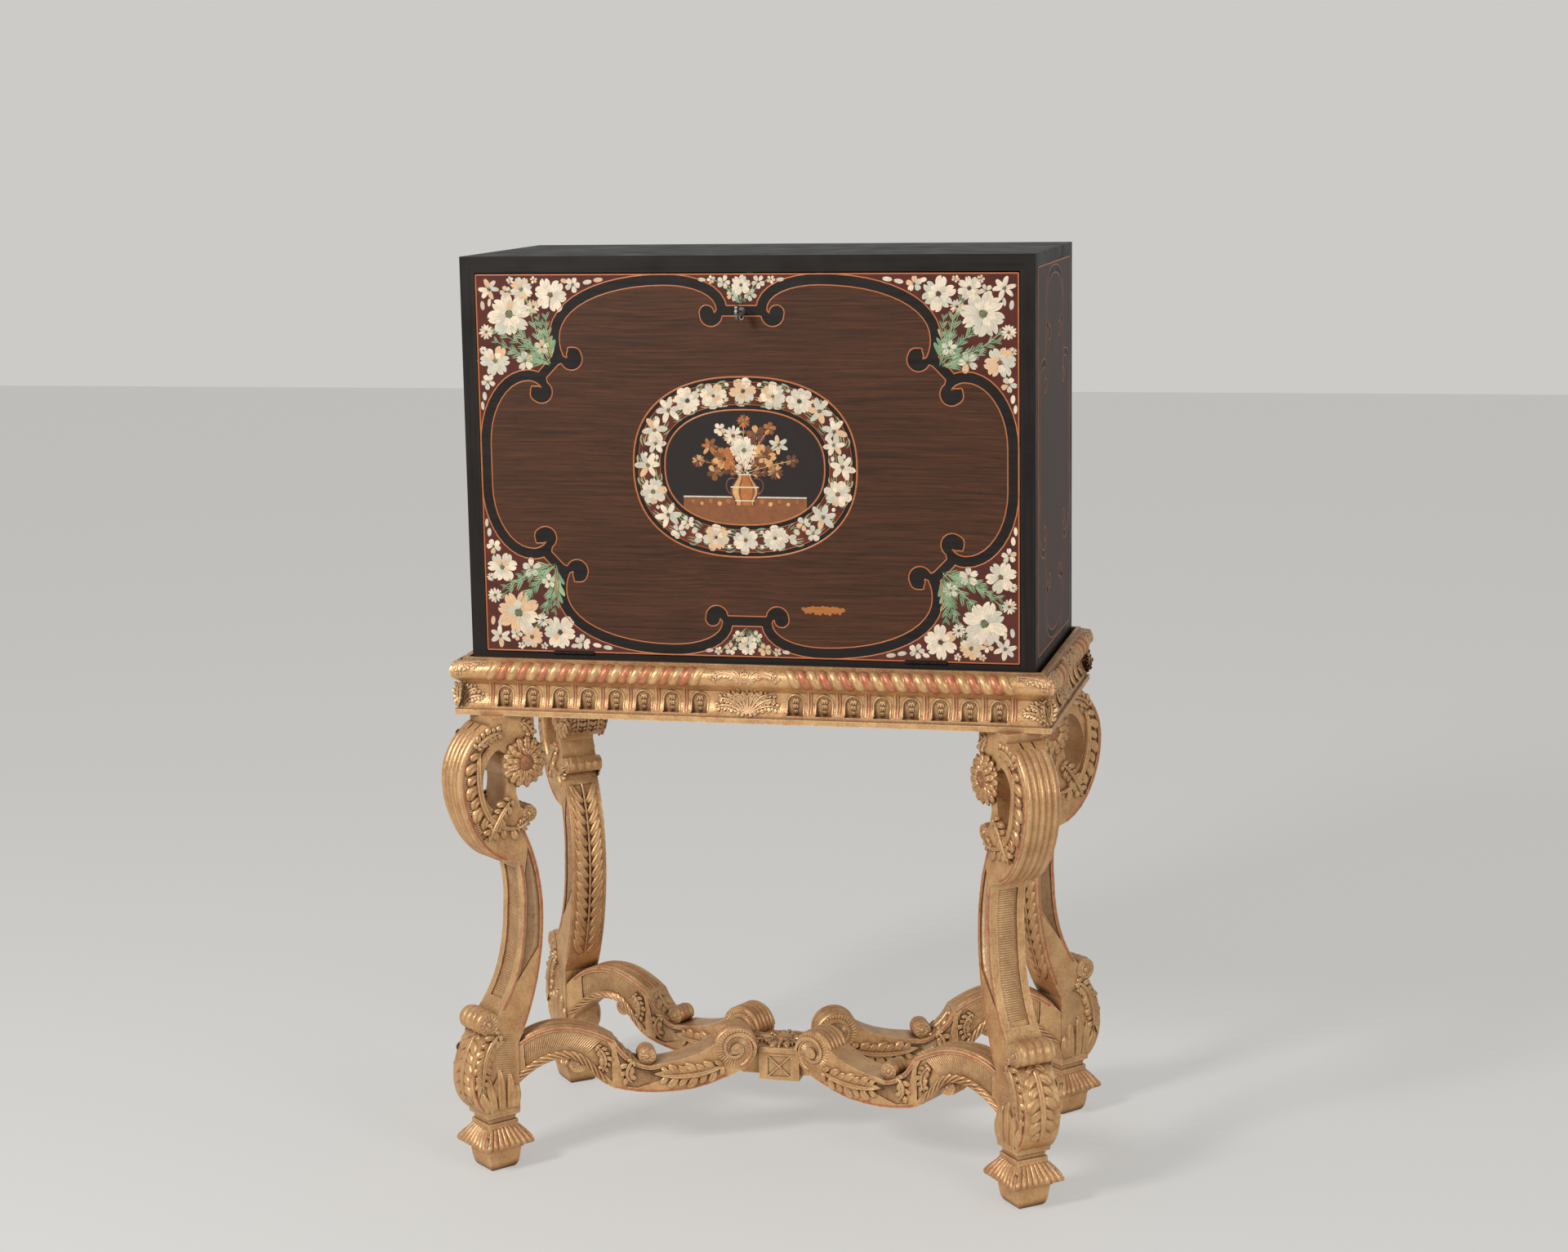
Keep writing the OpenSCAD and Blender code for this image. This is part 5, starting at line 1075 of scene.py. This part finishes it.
# Across the leg: hatching down the outer face, a palm over the inner one with its leaves in pairs from the middle,
# reeds beside the scroll's middle band, a leaf on the bulge, and reeds or leaves round the rolls
def legFaces():
    shaft, spine = part(shaftLine, 0.06, 0.88), part(backLine, 0.12, 0.92)
    outerFace, innerFace = onProfile(shifted(shaft, -3)), onProfile(spine)
    span = lengthOf(shaft) - 4
    patches = [hatch(outerFace, [[-18.5, 3], [-18.5, span]], [[18.5, 3], [18.5, span]], 1.8)]
    span = lengthOf(spine)
    patches.append(ridge(innerFace, [[0, 6], [0, span - 6]], 5, 2.6))
    for t in np.arange(4, span - 40, 20):
        for k in (-1, 1):
            rib = bez([k * 2, t], [k * 8, t + 6], [k * 17, t + 14], [k * 24, t + 40], 12)
            patches.append(lobe(innerFace, rib, 7.5, 4.0, 0.6, 0.1, -3.2, 14, 9))
    end = lengthOf(scrollLine) * 0.94
    patches.append(reedsAlong(onProfile(scrollLine), 30, 14, end, 5, 3.0, nv=70, red=0.25, ends=10))
    patches += acanthus(onProfile(bulgeLine), [[0, 4], [0, 60], [0, 150]], 23, 3.4, 0.1)
    for name, start, end, high, nv in (("knee", -0.9, 2.4, 2.4, 40), ("cusp", 1.4, 4.0, 1.8, 30)):
        c, r = legRolls[name]
        patches.append(reedsAlong(onRoll(c, r), 30, start * r, end * r, 4, high, 0.6, nv))
    c, r = legRolls["drum"]
    for s in (-20, 0, 20):
        patches += acanthus(onRoll(c, r), [[s, r * 1.2], [s, r * 2.6], [s, r * 4.1]], 11, 4)
    return patches


carving = legCheek(-1) + legCheek(1) + legFaces()
for corner, name in cornerNames.items():
    carve("legCarving_" + name, moved(carving, atCorner(leg, *corner)))
print("legs carved")

# Sunflowers: rows of grooved petals round a seed disc with a diagonal lattice. A row is its count, the inner and
# outer shares of the radius, the half width's share, its base over the drum, and its height.
sunflowerRows = [(15, 0.30, 1.0, 0.17, 0.8, 4.2), (13, 0.28, 0.82, 0.15, 3.2, 4.4), (11, 0.26, 0.60, 0.13, 5.6, 4.0)]


def sunflower(place, c, r, rng):
    patches = [boss(place, c, r * 0.86, 3.0, 0.3)]
    c = np.asarray(c, float)
    for count, inner, outer, w, base, high in sunflowerRows:
        petalFace = lifted(place, base)
        for i in range(count):
            d = circle(2 * np.pi * (i + 0.5 * (base > 2) + rng.uniform(-0.1, 0.1)) / count)
            n = leftward(d) * rng.uniform(-0.05, 0.05) * r
            tip = c + outer * r * rng.uniform(0.94, 1.0) * d
            rib = bez(c + inner * r * d, c + 0.5 * r * d + n, c + 0.8 * outer * r * d - n, tip, 10)
            patches.append(lobe(petalFace, rib, w * r, high * rng.uniform(0.85, 1.1), tint=rng.uniform(0, 0.3)))
            if outer == 1.0:  # the outer petals hang over the drum, so they have an underside
                under = lobe(petalFace, rib, w * r, -2.2)
                patches.append(dict(under, back=2 * under["pts"] - under["back"]))
    n, q = 48, np.linspace(1, 0.02, 18)
    x, z = np.moveaxis((0.33 * r * q)[:, None] * circle(np.linspace(0, 2 * np.pi, n, endpoint=False)[:, None]), -1, 0)
    net = np.abs(np.sin((x + z) * 0.95)) * np.abs(np.sin((x - z) * 0.95))
    seeds = 2 + 7 * np.sqrt(1 - 0.75 * q * q) + 1.6 * net * (q < 0.9)
    return patches + [rings(place, c, 0.33 * r, q, seeds, 0.75, n)]


rng = np.random.default_rng(5)
heads = []
for corner in cornerNames:
    for k in (-1, 1):
        head = sunflower(onCheek(k * (leg["half"] + 3)), legRolls["drum"][0], 46, rng)
        heads += moved(head, atCorner(leg, *corner))
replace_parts(carve("sunflowerHeads", heads), "sunflowers")

# Feet: lobes that flare over the collar. One foot has lost a side of its collar.
footFlare = join(bez([29, 79], [32, 70], [40, 66], [46, 56], 10), bez([46, 56], [50, 52], [50, 46], [47, 43.5], 8))


def footCarving(broken):
    end = lengthOf(footFlare) - 4
    lobes = reeds(onProfile(footFlare), [[-27, 1], [27, 1]], [[-47, end], [47, end]], 8, 2.6, 0.5, 0.09, 16, 0.35, 8)
    patches = []
    for side in range(4):
        c, s = circle(side * np.pi / 2)
        if not (broken and side == 1):
            patches += moved([lobes], lambda p: p @ np.array([[c, s, 0], [-s, c, 0], [0, 0, 1]]))
    return patches


for corner, name in cornerNames.items():
    carve("footLobes_" + name, moved(footCarving(name == "back_right"), atCorner(leg, *corner)))
print("sunflowers and feet carved")

# Arms: reeded back, hatched fields, a twisted lower edge, rolled leaves, the leaf under the tail and the volutes
archLine = bez([-24, 184], [30, 252], [105, 264], [183, 212], 40)
dipLine = bez([183, 212], [194, 190], [215, 166], [245, 163], 24)
soffitLine = join(bez([-24, 106], [22, 165], [60, 190], [98, 187]), bez([98, 187], [130, 186], [135, 150], [179, 128]))
tailLine = join(bez([179, 128], [235, 110], [310, 108], [360, 128]),
                bez([360, 128], [392, 138], [431, 150], [431, 184]))
armRolls = {"volute": [(394, 184), 37], "top": [(239, 178), 15], "low": [(118, 174), 15]}
armLeaves = [(bez([372, 156], [330, 138], [290, 140], [250, 148], 40), 19, 6),
             (bez([214, 176], [196, 160], [198, 144], [214, 134], 20), 12, 4.5),
             (bez([150, 206], [168, 190], [170, 172], [156, 158], 20), 10, 4)]


def armCheek(k):
    cheek, sunk = onCheek(k * arm["half"]), onCheek(k * (arm["half"] - arm["deep"]))
    patches = [hatch(sunk, part(shifted(archLine, -8), 0.27, 0.93), part(shifted(soffitLine, 15), 0.24, 0.66)),
               hatch(sunk, part(shifted(dipLine, -8), 0.18, 1.0), part(shifted(tailLine, 8), 0.07, 0.5))]
    for line, start, end, inset in ((archLine, 0.16, 1.0, -3.5), (dipLine, 0.1, 1.0, -3.5),
                                    (tailLine, 0.02, 0.62, 3.5)):
        patches.append(ridge(cheek, shifted(part(line, start, end), inset), 4.4, 0.7, tint=1.0))
    low = shifted(part(soffitLine, 0.08, 0.97), 0.5)
    patches.append(reeds(cheek, low[4:], shifted(low, 12)[:-4], 15, 3.4, 0.5, 0.12, red=0.3))
    for rib, w, high in armLeaves:
        patches += acanthus(cheek, rib, w, high)
    c, r = armRolls["volute"]
    patches += voluteFace(cheek, c, r - 0.4, 7, 1.6, -80, 3.6, 36)
    for name, half in (("top", 19), ("low", 21.6)):
        c, r = armRolls[name]
        patches += voluteFace(onCheek(k * half), c, r - 0.4, 4, 1.2, 60, 2, 10)
    return patches


def armFaces():
    patches = [reedsAlong(onProfile(archLine), 22, 14, lengthOf(archLine) - 4, 5, 2.6, nv=50, red=0.5, ends=10),
               reedsAlong(onProfile(tailLine[::-1]), 24, 60, 250, 3, 2.0, 0.6, 40, 0.4)]
    patches += acanthus(onProfile(dipLine), [[0, 2], [0, 30], [0, 70]], 18, 3.4)
    for name, half, start, end, count, high, nv, red in (
            ("volute", 26, -0.6, 3.6, 5, 2.8, 40, 0.35), ("top", 17, -1.4, 4.4, 3, 1.8, 30, 0.3),
            ("low", 19, -1.4, 4.4, 3, 1.8, 30, 0.3)):
        c, r = armRolls[name]
        patches.append(reedsAlong(onRoll(c, r), half, start * r, end * r, count, high, nv=nv, red=red))
    return patches


carving = armCheek(-1) + armCheek(1) + armFaces()
for corner, name in cornerNames.items():
    carve("armCarving_" + name, moved(carving, atCorner(arm, *corner)))

# Middle block: leaves on the plate from a raised boss, long ones to the arms' gaps
block = {"topZ": 179.0, "bossR": 17, "bossHigh": 12, "long": 96, "side": 47, "corner": 40}
onTop = flatFace(2, block["topZ"], 1)
patches = [boss(onTop, (0, 0), block["bossR"], block["bossHigh"], 0.2, 28)]
for a in range(0, 360, 45):
    d = circle(np.radians(a))
    reach = block["long"] if a % 180 == 0 else block["side" if a % 90 == 0 else "corner"]
    patches += acanthus(onTop, [d * 12, d * reach * 0.5, d * reach], 15 if a % 90 == 0 else 8, 6)
for k, s in signPairs:
    patches += acanthus(onTop, bez([k * 30, s * 6], [k * 60, s * 26], [k * 84, s * 26], [k * 92, s * 8], 20), 9, 5)
carve("blockCarving", patches)
print("arms and block carved")

# The solids that show as they are, by how their names start
nodeFinish = [(gilt, "rail_ corner_blocks leg_ foot_ sunflowers arm_ stretcher_block"), (ebonyZ, "side_"),
              (ebonyX, "top_board bottom_board front_strapwork"), (rosewood, "front_veneer"), (deal, "back_panel"),
              (walnut, "uprights dust_boards shelf_middle niche_arch fall_front drawer_"), (brass, "knob_"),
              (iron, "strike_plate escutcheon lock_ key"), (darkIron, "hinge_ stay")]
for nodeName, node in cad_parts.items():
    for finish, starts in nodeFinish:
        if node.type == "MESH" and nodeName.startswith(tuple(starts.split())):
            for s in node.material_slots:
                s.material = finish

# Stage: the floor and the sky look pale to the camera, without more light on the cabinet
studio = {"floor": "#dedbd6", "floorSeen": "#d6d5d2", "seenShare": 0.55, "half": 14.0, "ambient": "#f0f0f0",
          "ambientPower": 0.5, "backdrop": "#cccbc8"}
floorMat, tree, _ = newMaterial("plainFloor")
ground = addNode(tree, "BsdfPrincipled", {"Base Color": studio["floor"], "Roughness": 0.8})
glow = addNode(tree, "Emission", {"Color": studio["floorSeen"], "Strength": 1.0})
ray = addNode(tree, "LightPath", {}, "Is Camera Ray")
share = addNode(tree, "Math", {"operation": "MULTIPLY", 0: ray, 1: studio["seenShare"]})
addNode(tree, "OutputMaterial", {"Surface": addNode(tree, "MixShader", {0: share, 1: ground, 2: glow})})
s = studio["half"]
addMesh("floor", [(-s, -s, 0), (s, -s, 0), (s, s, 0), (-s, s, 0)], [(0, 1, 2, 3)], [floorMat])

world = bpy.context.scene.world = bpy.data.worlds.new("studio")
world.use_nodes = True
tree = world.node_tree
tree.nodes.clear()
ambient = addNode(tree, "Background", {"Color": studio["ambient"], "Strength": studio["ambientPower"]})
backdrop = addNode(tree, "Background", {"Color": studio["backdrop"], "Strength": 1.0})
cameraRay, throughRay = (addNode(tree, "LightPath", {}, "Is %s Ray" % k) for k in ("Camera", "Transmission"))
straight = addNode(tree, "Math", {"operation": "MAXIMUM", 0: cameraRay, 1: throughRay})
addNode(tree, "OutputWorld", {"Surface": addNode(tree, "MixShader", {0: straight, 1: ambient, 2: backdrop})})


# Square lamps, in metres and watts
def softBox(name, place, aim, size, power):
    light = bpy.data.lights.new(name, "AREA")
    light.shape, light.size, light.energy = "SQUARE", size, power
    lamp = addObject(name, light)
    lamp.location = place
    lamp.rotation_euler = (Vector(aim) - Vector(place)).to_track_quat("-Z", "Y").to_euler()


softBox("keyLeft", (-2.4, -3.8, 3.4), (0, 0, 0.8), 1.0, 175)
softBox("fillRight", (3.2, -3.0, 2.0), (0, 0, 0.8), 1.6, 45)

# Camera, solved on the photograph
camera = addObject("camera", bpy.data.cameras.new("camera"))
camera.data.lens, camera.data.sensor_width = 65.93, 36
camera.location = (1.15345, -4.7394, 1.77897)
camera.rotation_euler = tuple(np.radians([80.0297, 0.9259, 13.3889]))
bpy.context.scene.camera = camera
bpy.context.scene.view_settings.view_transform = "Standard"
